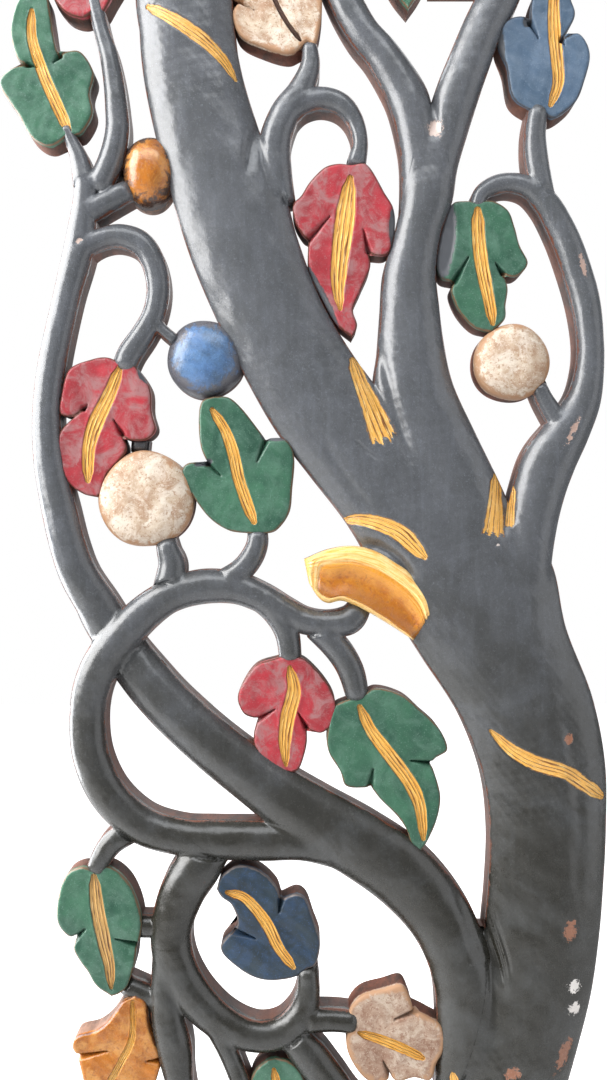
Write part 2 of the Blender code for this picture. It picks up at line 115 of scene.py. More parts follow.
def strokeField(x, z, strokes):
    # gouged strokes: reach = distance / half width, 1 at the edge; dig is 1 in the middle of its flutes;
    # a stroke that is widest at its end stops raggedly, strand by strand
    cut = strokeCut
    reach = np.full(x.shape, 9.0)
    across, along = np.zeros((2,) + x.shape)
    low, high = np.array([x.min(), z.min()]) - 0.01, np.array([x.max(), z.max()]) + 0.01
    for points, wide in strokes:
        path = spread(smoothRows(place(points), 10), 40)
        if (path.min(0) > high).any() or (path.max(0) < low).any():
            continue
        wide = np.asarray(wide, dtype=float) * square * 0.5
        side, run, past, gap = pathField(x, z, path)
        total = arcShare(path)[-1]
        share = run / total
        ragged = wide[-1] >= wide.max()
        endCut = 1.0 if ragged else cut["narrowEnd"]
        half = np.interp(share, np.linspace(0, 1, len(wide)), wide)
        half = half * np.clip(cut["narrowEnd"] + cut["endGrowth"] * share, cut["narrowEnd"], 1.0)
        half = half * np.clip(endCut + cut["endGrowth"] * (1 - share), endCut, 1.0)
        far = np.hypot(side, past * cut["endSquash"]) / half
        if ragged:
            strand = 0.5 + 0.3 * np.sin(9 * side / half + 2) + 0.2 * np.sin(23 * side / half)
            beyond = (run + past - total + wide[-1] * cut["fray"] * strand) / (wide[-1] * cut["frayStep"])
            far = np.where(share > 0.5, np.maximum(far, 1 + np.maximum(beyond, -0.4)), far)
        nearer = far < reach
        reach = np.where(nearer, far, reach)
        across = np.where(nearer, side / half, across)
        along = np.where(nearer, run, along)
    inside = np.clip((cut["edge"] - reach) / cut["slope"], 0, 1)
    flutes = 0.5 - 0.5 * np.cos(across * cut["flutes"] * math.pi)
    dig = inside * inside * (3 - 2 * inside) * (1 - cut["fluteDepth"] + cut["fluteDepth"] * flutes)
    burr = np.exp(-((reach - cut["edge"]) / cut["burrWidth"]) ** 2)
    return np.stack([reach, across, along], -1), dig, burr


def chipField(x, z, chips):
    # 1 in the middle of a knocked or rubbed spot, 0 at its edge; the second value is the spot's own tone
    chip = np.full(x.shape, -1.0)
    chipTone = np.zeros(x.shape)
    for cx, cy, halfX, halfY, lean, value in chips:
        at = place((cx, cy))
        u = (x - at[0]) * math.cos(lean) + (z - at[1]) * math.sin(lean)
        v = -(x - at[0]) * math.sin(lean) + (z - at[1]) * math.cos(lean)
        here = 1 - np.hypot(u / (halfX * square), v / (halfY * square))
        chipTone = np.where(here > chip, value, chipTone)
        chip = np.maximum(chip, here)
    return np.clip(chip, -1, 1), chipTone


def gridFaces(rows, cols, closed):
    # four corners of every cell of a rows by cols grid, the last column joined to the first if closed
    i = np.arange(rows - 1)[:, None]
    j = np.arange(cols if closed else cols - 1)[None, :]
    k = (j + 1) % cols
    return np.stack([i * cols + j, i * cols + k, (i + 1) * cols + k, (i + 1) * cols + j], -1).reshape(-1, 4)


def boardSheet(x, z, top, steps, back, rim, ends, stroke, chip, chipTone, **more):
    # a closed sheet: the top, and each edge brought down to the back, steps giving shares of the edge's height;
    # rim is the distance to the edge on top and runs negative down the walls; ends closes the first and last row
    steps = np.array(steps)
    first, last = top[:, :1], top[:, -1:]

    def walled(a, fill=None):
        # the same columns for both walls: the edge's own value, or one fill
        left, right = (a[:, :1], a[:, -1:]) if fill is None else [np.full(a[:, :1].shape, fill)] * 2
        return np.concatenate([left] * len(steps) + [a] + [right] * len(steps), 1)

    heights = np.hstack([first * steps, top, last * steps[::-1]])
    heights[:, 0] = heights[:, -1] = back
    rows, cols = heights.shape
    caps = [list(range(k * cols, (k + 1) * cols)) for k, closed in zip((0, rows - 1), ends) if closed]
    fields = dict(rim=np.hstack([first * (steps - 1), rim, last * (steps[::-1] - 1)]), chip=walled(chip, -1.0),
                  chipTone=walled(chipTone, 0.0), stroke=walled(stroke, (9.0, 0.0, 0.0)))
    fields.update({key: walled(value, 0.0) for key, value in more.items()})
    return dict(points=np.stack([walled(x), -heights, walled(z)], -1), faces=gridFaces(rows, cols, True),
                caps=caps, fields=fields)


def makePiece(name, sheets, material):
    # one mesh from sheets of points, quads and per-point fields, with its normals turned outwards
    points, faces, fields, start = [], [], {}, 0
    for sheet in sheets:
        points.append(sheet["points"].reshape(-1, 3))
        faces.extend((sheet["faces"] + start).tolist())
        faces.extend([[n + start for n in cap] for cap in sheet["caps"]])
        for key, values in sheet["fields"].items():
            fields.setdefault(key, []).append(values.ravel())
        start += len(points[-1])
    mesh = bpy.data.meshes.new(name)
    mesh.from_pydata(np.vstack(points).tolist(), [], faces)
    work = bmesh.new()
    work.from_mesh(mesh)
    bmesh.ops.recalc_face_normals(work, faces=work.faces)
    work.to_mesh(mesh)
    work.free()
    for key, parts in fields.items():
        values = np.concatenate(parts).astype(np.float32)
        isVector = len(values) == 3 * start
        layer = mesh.attributes.new(key, "FLOAT_VECTOR" if isVector else "FLOAT", "POINT")
        layer.data.foreach_set("vector" if isVector else "value", values)
    mesh.polygons.foreach_set("use_smooth", np.ones(len(mesh.polygons), dtype=bool))
    mesh.set_sharp_from_angle(angle=math.radians(62))  # the flat back and the notch cuts keep a hard edge
    mesh.materials.append(material)
    piece = bpy.data.objects.new(name, mesh)
    bpy.context.scene.collection.objects.link(piece)
    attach(piece, "root")
    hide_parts("carved_panel")


# limbs: lengths in metres; covered ends sink or slip under the limb that they join
limbCut = dict(wall=0.0155, crown=0.0105, riseWidth=0.0090, flatPower=2.4, crownPower=0.8, fillet=0.0026,
               endReach=0.9, freeSink=0.0040, heldSink=0.0085, heldEdge=0.0016, markReach=0.0035,
               mark=0.00030, fineMark=0.00013, stroke=0.0009, burr=0.00010, chip=0.00035,
               tuck=0.0010, slip=0.0016, slipReach=0.0024, steps=(0.0, 0.3, 0.62, 0.88, 0.975))


def softMax(a, b, width):
    # larger of two heights with a fillet: max + (width - |a - b|)^2 / (4 width) where they are close
    near = np.clip(width - np.abs(a - b), 0, None)
    return np.maximum(a, b) + near * near / (4 * width)


def limbCover(x, z, limb):
    # height of one limb at any place: s = (toLeft - toRight) / (toLeft + toRight), then
    # wall + dip + rise * (1 - |s|^2.4)^0.8 with rise = crown * (1 - exp(-half / width)); its ends sink away
    cut, tiny = limbCut, 1e-6
    a, b = pathField(x, z, limb["left"]), pathField(x, z, limb["right"])
    inside = (a[0] * limb["leftSign"] > -0.1 * tiny) & (b[0] * limb["rightSign"] > -0.1 * tiny)
    inside = inside & ((a[2] < tiny) | (b[2] < tiny))
    half = 0.5 * (a[3] + b[3])
    s = np.abs(np.clip((a[3] - b[3]) / np.maximum(2 * half, tiny), -1, 1))
    dip = np.interp(a[1] / limb["leftLength"], np.linspace(0, 1, len(limb["dips"])), limb["dips"])
    rise = cut["crown"] * (1 - np.exp(-half / cut["riseWidth"]))
    height = cut["wall"] + dip + rise * (1 - s ** cut["flatPower"]) ** cut["crownPower"]
    along = 0.5 * (a[1] + b[1])
    whole = 0.5 * (limb["leftLength"] + limb["rightLength"])
    fromStart = fadeOut(along, cut["endReach"] * half + tiny) ** 2
    fromEnd = fadeOut(whole - along, cut["endReach"] * half + tiny) ** 2
    free = cut["freeSink"] * (fromStart * limb["startFree"] + fromEnd * limb["endFree"])
    held = fromStart * (1 - limb["startFree"]) + fromEnd * (1 - limb["endFree"])
    held = cut["heldSink"] * held * limb["sink"]
    return np.where(inside, height - free, -1.0), np.where(inside, half * (1 - s), 0.0), np.where(inside, held, 0.0)


def hollowDepth(x, z, cuts):
    # gouged hollows: depth * exp(-(distance / width)^2) along each path, dying away at both ends
    total = np.zeros(x.shape)
    margin = 0.012
    for points, width, depth in cuts:
        path = spread(smoothRows(place(points), 8), 30)
        low, high = path.min(0) - margin, path.max(0) + margin
        near = (x > low[0]) & (x < high[0]) & (z > low[1]) & (z < high[1])
        if near.any():
            side, run, past, gap = pathField(x[near], z[near], path)
            share = run / arcShare(path)[-1]
            fade = np.clip(4 * np.minimum(share, 1 - share) + 0.12, 0, 1)
            total[near] = total[near] + depth * fade * np.exp(-(gap / (width * square)) ** 2)
    return total


def limbUnion(x, z, limbs):
    # every limb that covers a place counts, so crossings and forks run into each other
    low, high = np.array([x.min(), z.min()]), np.array([x.max(), z.max()])
    covers = []
    for limb in limbs:
        (lowX, lowZ), (highX, highZ) = limb["low"], limb["high"]
        near = (x >= lowX) & (x <= highX) & (z >= lowZ) & (z <= highZ)
        if (limb["low"] <= high).all() and (limb["high"] >= low).all() and near.any():
            covers.append([near] + list(limbCover(x[near], z[near], limb)))
    rim, second = np.zeros((2,) + x.shape)
    for near, h, r, held in covers:
        was = rim[near]
        second[near] = np.maximum(second[near], np.minimum(was, r))
        rim[near] = np.maximum(was, r)
    height = np.full(x.shape, -1.0)
    for near, h, r, held in covers:
        others = np.where(r >= rim[near] - 1e-9, second[near], rim[near])
        h = np.where(h > 0, h - held * np.clip(others / limbCut["heldEdge"], 0, 1), h)
        was = height[near]
        height[near] = np.where((h > 0) & (was > 0), softMax(h, was, limbCut["fillet"]), np.maximum(h, was))
    return height, rim


def limbSheet(limb, limbs, across, back):
    # profile along a path: the shared height over each cross line, then tool marks, strokes, hollows and chips
    cut = limbCut
    left, right = limb["leftRows"], limb["rightRows"]
    s = np.sin(np.linspace(-1, 1, across) * math.pi / 2)[None, :]
    x, z = (left[:, k:k + 1] + (right - left)[:, k:k + 1] * (s + 1) / 2 for k in (0, 1))
    top, rim = limbUnion(x, z, limbs)
    stroke, dig, burr = strokeField(x, z, trunkStrokes)
    chip, chipTone = chipField(x, z, chips)
    marks = cut["mark"] * (ripple(x, z, 0.026) - 1) + cut["fineMark"] * ripple(z, x, 0.0085)
    top = top + np.clip(rim / cut["markReach"], 0, 1) * marks
    top = top - cut["stroke"] * dig + cut["burr"] * burr - hollowDepth(x, z, hollows)
    top = top - cut["chip"] * np.clip(chip * 3, 0, 1)
    top = np.where(top > 0, top, cut["wall"] + limb["dips"][:, None])
    if limb["under"]:
        deep = np.clip((limbUnion(x, z, limb["under"])[1] - 0.0004) / 0.001, 0, 1)
        top = top - cut["tuck"] * deep * np.clip((limb["tuckFrom"] - z) / 0.002, 0, 1)
    run = arcShare(0.5 * (left + right))[:, None]
    slip = fadeOut(run, cut["slipReach"]) * (1 - limb["startFree"])
    slip = slip + fadeOut(run[-1] - run, cut["slipReach"]) * (1 - limb["endFree"])
    top = top - cut["slip"] * slip * limb["sink"] * (rim > 0.0008)
    return boardSheet(x, z, top, cut["steps"], back, rim, (True, True), stroke, chip, chipTone)


def makeLimb(leftRows, rightRows, dips, under):
    # a limb's edges, the box it covers, and on which side of each edge the wood lies
    limb = dict(leftRows=leftRows, rightRows=rightRows, dips=dips, sink=1.0, under=under, tuckFrom=1.0,
                startFree=0.0, endFree=0.0)
    limb["left"], limb["right"] = spread(leftRows, 80), spread(rightRows, 80)
    middle = 0.5 * (limb["left"] + limb["right"])[20:60]
    for side in ("left", "right"):
        limb[side + "Length"] = arcShare(limb[side])[-1]
        limb[side + "Sign"] = np.sign(np.median(pathField(middle[:, 0], middle[:, 1], limb[side])[0]))
    both = np.vstack([leftRows, rightRows])
    limb["low"], limb["high"] = both.min(0) - square, both.max(0) + square
    return limb


leafCut = dict(top=0.0182, spare=0.0004, rimDrop=0.0011, rimWidth=0.0014, rimWaver=0.0005, swell=0.00050,
               fineSwell=0.00020, notchWidth=0.0019, notchDepth=0.0050, notchDip=0.0005, notchDipWidth=0.004,
               rib=0.0010, burr=0.00014, bare=0.0014, steps=(0.0, 0.3, 0.6, 0.85, 0.97))


def leafSheet(left, right, leaf, back, seed, acrossCount):
    # leaf surface: point(u, v) = spine(u) + |v| * (edge(u) - spine(u)), v < 0 to the left edge, v > 0 to the right;
    # height = top - rim rounding + slight swells - notch cuts - gouged midrib - bare flanks
    cut, rib = leafCut, leaf["rib"]
    spine = spread(smoothRows(place([leaf["base"], rib[len(rib) // 2], leaf["tip"]]), 20), 400)
    openBase = np.linalg.norm(left[0] - right[0]) > 0.0002
    u = np.linspace(0.0 if openBase else 0.07, 0.93, len(left))
    spine = spine[(u * 399).astype(int)]
    v = np.linspace(-1, 1, acrossCount)
    v = np.sign(v) * (0.75 * np.abs(v) + 0.25 * np.abs(v) ** 3)
    edge = np.where((v < 0)[None, :, None], left[:, None, :], right[:, None, :])
    p = spine[:, None, :] + np.abs(v)[None, :, None] * (edge - spine[:, None, :])
    x, z = p[..., 0], p[..., 1]
    rim = pathField(x, z, spread(np.vstack([left, right[::-1]]), 260))[3]
    rim[:, 0] = rim[:, -1] = 0
    top = cut["top"] - cut["rimDrop"] * fadeOut(rim, cut["rimWidth"] + cut["rimWaver"] * ripple(x, z, 0.012)) ** 2
    top = top + cut["swell"] * ripple(x + seed, z, 0.030) + cut["fineSwell"] * ripple(x, z - seed, 0.010)
    for key in ("left", "right"):
        if key + "Cut" in leaf:
            ends = place([leaf[key + "Notch"], leaf[key + "Cut"]])
            side, run, past, gap = pathField(x, z, spread(ends, 8))
            share = run / np.linalg.norm(ends[1] - ends[0])
            mouth = fadeOut(gap, cut["notchWidth"] * (1 - 0.75 * share))
            top = top - cut["notchDepth"] * mouth * (1 - 0.6 * share)
            top = top - cut["notchDip"] * np.exp(-(gap / cut["notchDipWidth"]) ** 2)
    stroke, dig, burr = strokeField(x, z, [(rib, leaf["wide"])])
    bare, bareTone = chipField(x, z, leaf.get("bare", []))
    top = top - cut["rib"] * dig + cut["burr"] * burr - cut["bare"] * np.clip(3 * bare, 0, 1)
    top = np.minimum(top, cut["top"] + cut["spare"])
    return boardSheet(x, z, top, cut["steps"], back, rim, (openBase, False), stroke,
                      np.clip(3 * bare, -1, 1), bareTone)


fruitCut = dict(top=0.0235, around=128, out=44, wobble=0.012, fineWobble=0.008, facet=0.8, facetReach=0.99,
                swell=0.00030, swellSize=0.016, steps=(0.97, 0.8, 0.45, 0.0))


def fruitSheet(fruit, back, seed):
    # domed fruit: height = wall + rise * (1 - r^power)^0.5, pressed towards flat cuts of the gouge
    cut, wall, power, facets = fruitCut, fruit["wall"], fruit["power"], fruit["facets"]
    around = cut["around"]
    (centreX, centreZ), (halfX, halfZ) = place(fruit["at"]), np.array(fruit["half"]) * square
    angle = np.linspace(0, 2 * math.pi, around, endpoint=False)[:, None]
    r = np.sin(np.linspace(0.0, 1.0, cut["out"]) * math.pi / 2)[None, :]
    bump = 1 + cut["wobble"] * np.sin(3 * angle + seed) + cut["fineWobble"] * np.sin(5 * angle + 2 * seed)
    x = centreX + halfX * bump * r * np.cos(angle)
    z = centreZ + halfZ * bump * r * np.sin(angle)
    rise = cut["top"] - wall
    top = wall + rise * np.sqrt(np.clip(1 - r ** power, 0, 1)) + 0 * x
    if facets:
        turn = np.round(angle / (2 * math.pi) * facets) / facets * 2 * math.pi
        share = np.clip(1 - (r * np.cos(angle - turn) * cut["facetReach"]) ** power, 0, 1)
        flat = wall + rise * np.sqrt(share)
        top = np.minimum(top, (1 - cut["facet"]) * top + cut["facet"] * flat)
    top = top + cut["swell"] * (ripple(x + seed, z, cut["swellSize"]) - 1) * (1 - r ** 6)
    steps = np.repeat(np.array([cut["steps"]]), around, 0)
    heights = np.hstack([top, wall * steps])
    heights[:, -1] = back
    x, z = (np.hstack([a] + [a[:, -1:]] * steps.shape[1]) for a in (x, z))
    cols = x.shape[1]
    ring = np.arange(cols - 1)
    seam = np.stack([(around - 1) * cols + ring, (around - 1) * cols + ring + 1, ring + 1, ring], -1)
    rim = np.hstack([min(halfX, halfZ) * (1 - r) + 0 * top, wall * (steps - 1)])
    fields = dict(rim=rim, chip=0 * x - 1, chipTone=0 * x, stroke=np.stack([0 * x + 9, 0 * x, 0 * x], -1))
    return dict(points=np.stack([x, -heights, z], -1), faces=np.vstack([gridFaces(around, cols, False), seam]),
                caps=[[k * cols + cols - 1 for k in range(around)]], fields=fields)


def feed(tree, socket, value):
    # a (node, output) pair is linked to the socket, a plain value is set on it
    if isinstance(value, tuple) and hasattr(value[0], "outputs"):
        tree.links.new(value[0].outputs[value[1]], socket)
    else:
        socket.default_value = value


def put(tree, kind, **sets):
    # a node: a socket's name, or i_ and its number, feeds that socket; any other word is the node's own setting
    node = tree.nodes.new("ShaderNode" + kind)
    for key, value in sets.items():
        name = int(key[2:]) if key.startswith("i_") else key
        if name != key or name in node.inputs.keys():
            feed(tree, node.inputs[name], value)
        else:
            setattr(node, key, value)
    return node


def maths(tree, operation, a, b=0.0, clamp=False):
    # one sum on two values; plus, minus and times are a + b, a - b and a * b
    return (put(tree, "Math", operation=operation, use_clamp=clamp, i_0=a, i_1=b), 0)


def plus(tree, a, b):
    return maths(tree, "ADD", a, b)


def minus(tree, a, b):
    return maths(tree, "SUBTRACT", a, b)


def times(tree, a, b):
    return maths(tree, "MULTIPLY", a, b)


def blend(tree, factor, a, b, kind="MIX"):
    # a where the factor is 0, b where it is 1
    return (put(tree, "Mix", data_type="RGBA", blend_type=kind, i_0=factor, i_6=a, i_7=b), 2)


def ramp(tree, value, low, high):
    # 0 below low, 1 above high, smooth between
    return (put(tree, "MapRange", interpolation_type="SMOOTHSTEP", i_0=value, i_1=low, i_2=high), 0)


def noise(tree, vector, scale, detail=4.0, rough=0.55, bend=0.0):
    # soft noise around 0.5, its scale per metre
    return (put(tree, "TexNoise", i_0=vector, Scale=scale, Detail=detail, Roughness=rough, Distortion=bend), 0)


def tone(r, g, b):
    # screen colour 0 to 255 as the linear colour that the shader takes
    c = np.array([r, g, b]) / 255
    linear = np.where(c <= 0.04045, c / 12.92, ((c + 0.055) / 1.055) ** 2.4)
    return tuple(linear.tolist()) + (1.0,)


def newGroup(name, inputs, outputs):
    # an empty group with named sockets (v vector, f number, c colour): its tree, its inputs and its output node
    tree = bpy.data.node_groups.new(name, "ShaderNodeTree")
    kinds = {"v": "NodeSocketVector", "f": "NodeSocketFloat", "c": "NodeSocketColor"}
    for side, sockets in (("INPUT", inputs), ("OUTPUT", outputs)):
        for label, kind in sockets.items():
            tree.interface.new_socket(name=label, in_out=side, socket_type=kinds[kind])
    entry = tree.nodes.new("NodeGroupInput")
    return tree, {label: (entry, label) for label in inputs}, tree.nodes.new("NodeGroupOutput")


def send(tree, out, **results):
    # the group's results, each to the output of its name
    for label, value in results.items():
        feed(tree, out.inputs[label], value)


# paint film: two tones of one paint, pale bloom patches (on the red leaves a painted sheen), brush marks, dark pits,
# pale specks, and painted shade growing darker towards the foot, blotched with dirt there
tree, given, out = newGroup("paintFilm", dict(position="v", paint="c", deep="c", bloomAndSheen="c", bloomAndSheenAmount="f",
                                              patch="f", pits="f", brush="f", footShade="f"),
                            dict(colour="c", roughShift="f", height="f"))
paintFilm = tree
filmCut = dict(fine=620.0, grit=1500.0, cloud=95.0, brush=380.0, paleBrush=0.6, speck=0.60,
               footTop=-0.06, footLow=-0.30, footShadeTone=tone(176, 173, 160), dirtAndShadeTone=tone(200, 192, 176),
               broadShift=0.14, fineShift=0.36, fineHeight=0.6, gritHeight=0.25, pitHeight=0.5)
broad = noise(tree, given["position"], given["patch"], 6.0, 0.66, 0.5)
fine = noise(tree, given["position"], filmCut["fine"], 4.0, 0.65)
grit = noise(tree, given["position"], filmCut["grit"], 2.0, 0.5)
cloud = ramp(tree, noise(tree, given["position"], filmCut["cloud"], 6.0, 0.72, 0.8), 0.42, 0.64)
drawn = put(tree, "Mapping", Vector=given["position"], Scale=(1.0, 1.0, 0.10), Rotation=(0.0, 0.12, 0.0))
brush = noise(tree, (drawn, 0), filmCut["brush"], 4.0, 0.6, 0.2)
paleBrush = times(tree, given["brush"], filmCut["paleBrush"])
pitMask = times(tree, ramp(tree, fine, 0.54, 0.64), given["pits"])
base = blend(tree, ramp(tree, broad, 0.30, 0.70), given["deep"], given["paint"])
# pale bloom patches; on the red paints they are a painted sheen
base = blend(tree, times(tree, cloud, given["bloomAndSheenAmount"]), base, given["bloomAndSheen"])
base = blend(tree, times(tree, ramp(tree, brush, 0.50, 0.68), given["brush"]), base, given["deep"])
base = blend(tree, times(tree, ramp(tree, brush, 0.50, 0.34), paleBrush), base, given["bloomAndSheen"])
base = blend(tree, pitMask, base, given["deep"])
base = blend(tree, times(tree, ramp(tree, grit, 0.61, 0.68), filmCut["speck"]), base, given["bloomAndSheen"])
level = (put(tree, "SeparateXYZ", Vector=given["position"]), 2)
# painted shade: the paint darker from the middle of the panel down to its foot, darker still in dirt blotches there
footShade = times(tree, ramp(tree, level, filmCut["footTop"], filmCut["footLow"]), given["footShade"])
base = blend(tree, footShade, base, filmCut["footShadeTone"], "MULTIPLY")
base = blend(tree, times(tree, footShade, ramp(tree, broad, 0.66, 0.40)), base, filmCut["dirtAndShadeTone"], "MULTIPLY")
shift = times(tree, minus(tree, broad, 0.5), filmCut["broadShift"])
shift = plus(tree, shift, times(tree, minus(tree, fine, 0.5), filmCut["fineShift"]))
high = plus(tree, times(tree, fine, filmCut["fineHeight"]), times(tree, grit, filmCut["gritHeight"]))
send(tree, out, colour=base, roughShift=shift, height=minus(tree, high, times(tree, pitMask, filmCut["pitHeight"])))

# rubbed rim: how far the paint has gone near an edge, from the distance to that edge
tree, given, out = newGroup("rubbedRim", dict(position="v", rim="f", rubWidth="f", rub="f"), dict(mask="f"))
rubbedRim = tree
rimCut = dict(patches=160.0, patchShare=0.9, fade=0.25, low=0.62, high=0.76)
patchy = noise(tree, given["position"], rimCut["patches"], 6.0, 0.7, 0.6)
share = maths(tree, "DIVIDE", maths(tree, "ABSOLUTE", given["rim"]), given["rubWidth"])
nearEdge = maths(tree, "SUBTRACT", 1.0, share, True)
lift = plus(tree, times(tree, nearEdge, given["rub"]), times(tree, patchy, rimCut["patchShare"]))
lift = times(tree, lift, ramp(tree, nearEdge, 0.0, rimCut["fade"]))
send(tree, out, mask=ramp(tree, lift, rimCut["low"], rimCut["high"]))

# gold stroke: mask with a frayed edge, gold with brown lines along the gouge
tree, given, out = newGroup("goldStroke", dict(stroke="v", position="v", fray="f", gold="c", line="c", shineGold="c"),
                            dict(mask="f", colour="c", height="f"))
goldStroke = tree
goldCut = dict(ragged=520.0, strandAcross=3.2, strandAlong=70.0, threadAcross=2.6, threadAlong=20.0,
               tornMiddle=0.42, tornShare=2.0, low=0.96, high=1.06, fluteTurn=12.566, fluteShare=0.10,
               rimLine=0.55, lineDepth=0.8)
parts = put(tree, "SeparateXYZ", Vector=given["stroke"])
reach, across, along = ((parts, k) for k in range(3))
ragged = noise(tree, given["position"], goldCut["ragged"], 4.0, 0.6)
strand = put(tree, "CombineXYZ", X=times(tree, across, goldCut["strandAcross"]),
             Y=times(tree, along, goldCut["strandAlong"]), Z=3.0)
torn = noise(tree, (strand, 0), 1.5, 3.0, 0.6)
edge = plus(tree, reach, times(tree, minus(tree, ragged, 0.5), given["fray"]))
edge = plus(tree, edge, times(tree, minus(tree, torn, goldCut["tornMiddle"]),
                              times(tree, given["fray"], goldCut["tornShare"])))
mask = minus(tree, 1.0, ramp(tree, edge, goldCut["low"], goldCut["high"]))
thread = put(tree, "CombineXYZ", X=times(tree, across, goldCut["threadAcross"]),
             Y=times(tree, along, goldCut["threadAlong"]), Z=0.0)
lines = noise(tree, (thread, 0), 2.2, 4.0, 0.6, 0.5)
streak = noise(tree, (thread, 0), 5.5, 3.0, 0.6, 0.2)
flute = maths(tree, "COSINE", times(tree, across, goldCut["fluteTurn"]))  # four flutes from edge to edge
darkLine = ramp(tree, plus(tree, lines, times(tree, flute, goldCut["fluteShare"])), 0.53, 0.62)
gold = blend(tree, darkLine, given["gold"], given["line"])
gold = blend(tree, ramp(tree, streak, 0.54, 0.66), gold, given["shineGold"])
gold = blend(tree, times(tree, ramp(tree, reach, 0.86, 1.0), goldCut["rimLine"]), gold, given["line"])
send(tree, out, mask=mask, colour=gold,
     height=times(tree, minus(tree, streak, times(tree, darkLine, goldCut["lineDepth"])), mask))

# sawn side: red-brown stain blotched with dark wood and pale patches, taking over from the paint down the walls, with
# saw marks
tree, given, out = newGroup("sawnSide", dict(position="v", rim="f", reach="f", stain="c", sideDark="c", sidePale="c"),
                            dict(mask="f", colour="c", height="f"))
sawnSide = tree
sawCut = dict(squash=(1.0, 0.35, 0.30), blot=130.0, saw=900.0, ragged=2.6, low=0.55, high=0.95, pale=0.6, marks=0.35)
squash = put(tree, "Mapping", Vector=given["position"], Scale=sawCut["squash"])
blot = noise(tree, (squash, 0), sawCut["blot"], 6.0, 0.65, 0.6)
saw = noise(tree, (squash, 0), sawCut["saw"], 3.0, 0.6)
down = maths(tree, "DIVIDE", times(tree, given["rim"], -1.0), given["reach"])
down = plus(tree, down, times(tree, minus(tree, blot, 0.5), sawCut["ragged"]))
side = blend(tree, ramp(tree, blot, 0.28, 0.66), given["sideDark"], given["stain"])
side = blend(tree, times(tree, ramp(tree, blot, 0.62, 0.74), sawCut["pale"]), side, given["sidePale"])
side = blend(tree, times(tree, ramp(tree, saw, 0.52, 0.7), sawCut["marks"]), side, given["sideDark"])
send(tree, out, mask=ramp(tree, down, sawCut["low"], sawCut["high"]), colour=side, height=saw)

# chip: a knocked spot with a ragged outline, from a field that is 1 at the spot's middle
tree, given, out = newGroup("chippedSpot", dict(position="v", chip="f", chipTone="f", bare="c", tan="c"),
                            dict(mask="f", colour="c"))
chippedSpot = tree
spotCut = dict(torn=330.0, tornMiddle=0.56, ragged=2.4, low=0.16, high=0.26)
torn = noise(tree, given["position"], spotCut["torn"], 6.0, 0.75, 0.8)
spot = plus(tree, given["chip"], times(tree, minus(tree, torn, spotCut["tornMiddle"]), spotCut["ragged"]))
send(tree, out, mask=ramp(tree, spot, spotCut["low"], spotCut["high"]),
     colour=blend(tree, given["chipTone"], given["bare"], given["tan"]))
print("shader groups built")


def useGroup(tree, group, values):
    # the group with each of its inputs fed from values by name
    node = put(tree, "Group", node_tree=group)
    for socket in node.inputs:
        feed(tree, socket, values[socket.name])
    return node


surface = dict(sideRough=0.30, gold=2.0, rubbed=0.6, chip=0.8, saw=2.0, bumpDepth=0.00022)


def paintedMaterial(name, look):
    # paint over stained wood: film, rubbed rim, gold, chips, and sawn sides where the surface turns down;
    # roughness = look + film shift + side share; height = film + gold - rubbed - chip + saw marks, each by its share
    material = bpy.data.materials.new(name)
    material.use_nodes = True
    tree = material.node_tree
    shader = tree.nodes["Principled BSDF"]
    values = dict(look, position=(put(tree, "TexCoord"), 3))
    for key, output in dict(rim=2, stroke=1, chip=2, chipTone=2).items():
        values[key] = (put(tree, "Attribute", attribute_name=key), output)
    groups = (paintFilm, rubbedRim, goldStroke, sawnSide, chippedSpot)
    film, rubbed, gold, side, spot = (useGroup(tree, group, values) for group in groups)
    colour = blend(tree, (rubbed, 0), (film, 0), look["under"])
    for layer in (gold, spot, side):
        colour = blend(tree, (layer, 0), colour, (layer, 1))
    rough = plus(tree, (film, 1), look["rough"])
    rough = maths(tree, "ADD", rough, times(tree, (side, 0), surface["sideRough"]), True)
    height = plus(tree, (film, 2), times(tree, (gold, 2), surface["gold"]))
    height = minus(tree, height, times(tree, (rubbed, 0), surface["rubbed"]))
    height = minus(tree, height, times(tree, (spot, 0), surface["chip"]))
    height = plus(tree, height, times(tree, times(tree, (side, 0), (side, 2)), surface["saw"]))
    bump = put(tree, "Bump", Strength=look["bump"], Distance=surface["bumpDepth"], Height=height)
    feed(tree, shader.inputs["Base Color"], colour)
    feed(tree, shader.inputs["Roughness"], rough)
    feed(tree, shader.inputs["Normal"], (bump, 0))
    shader.inputs["Specular IOR Level"].default_value = look["shine"]
    return material


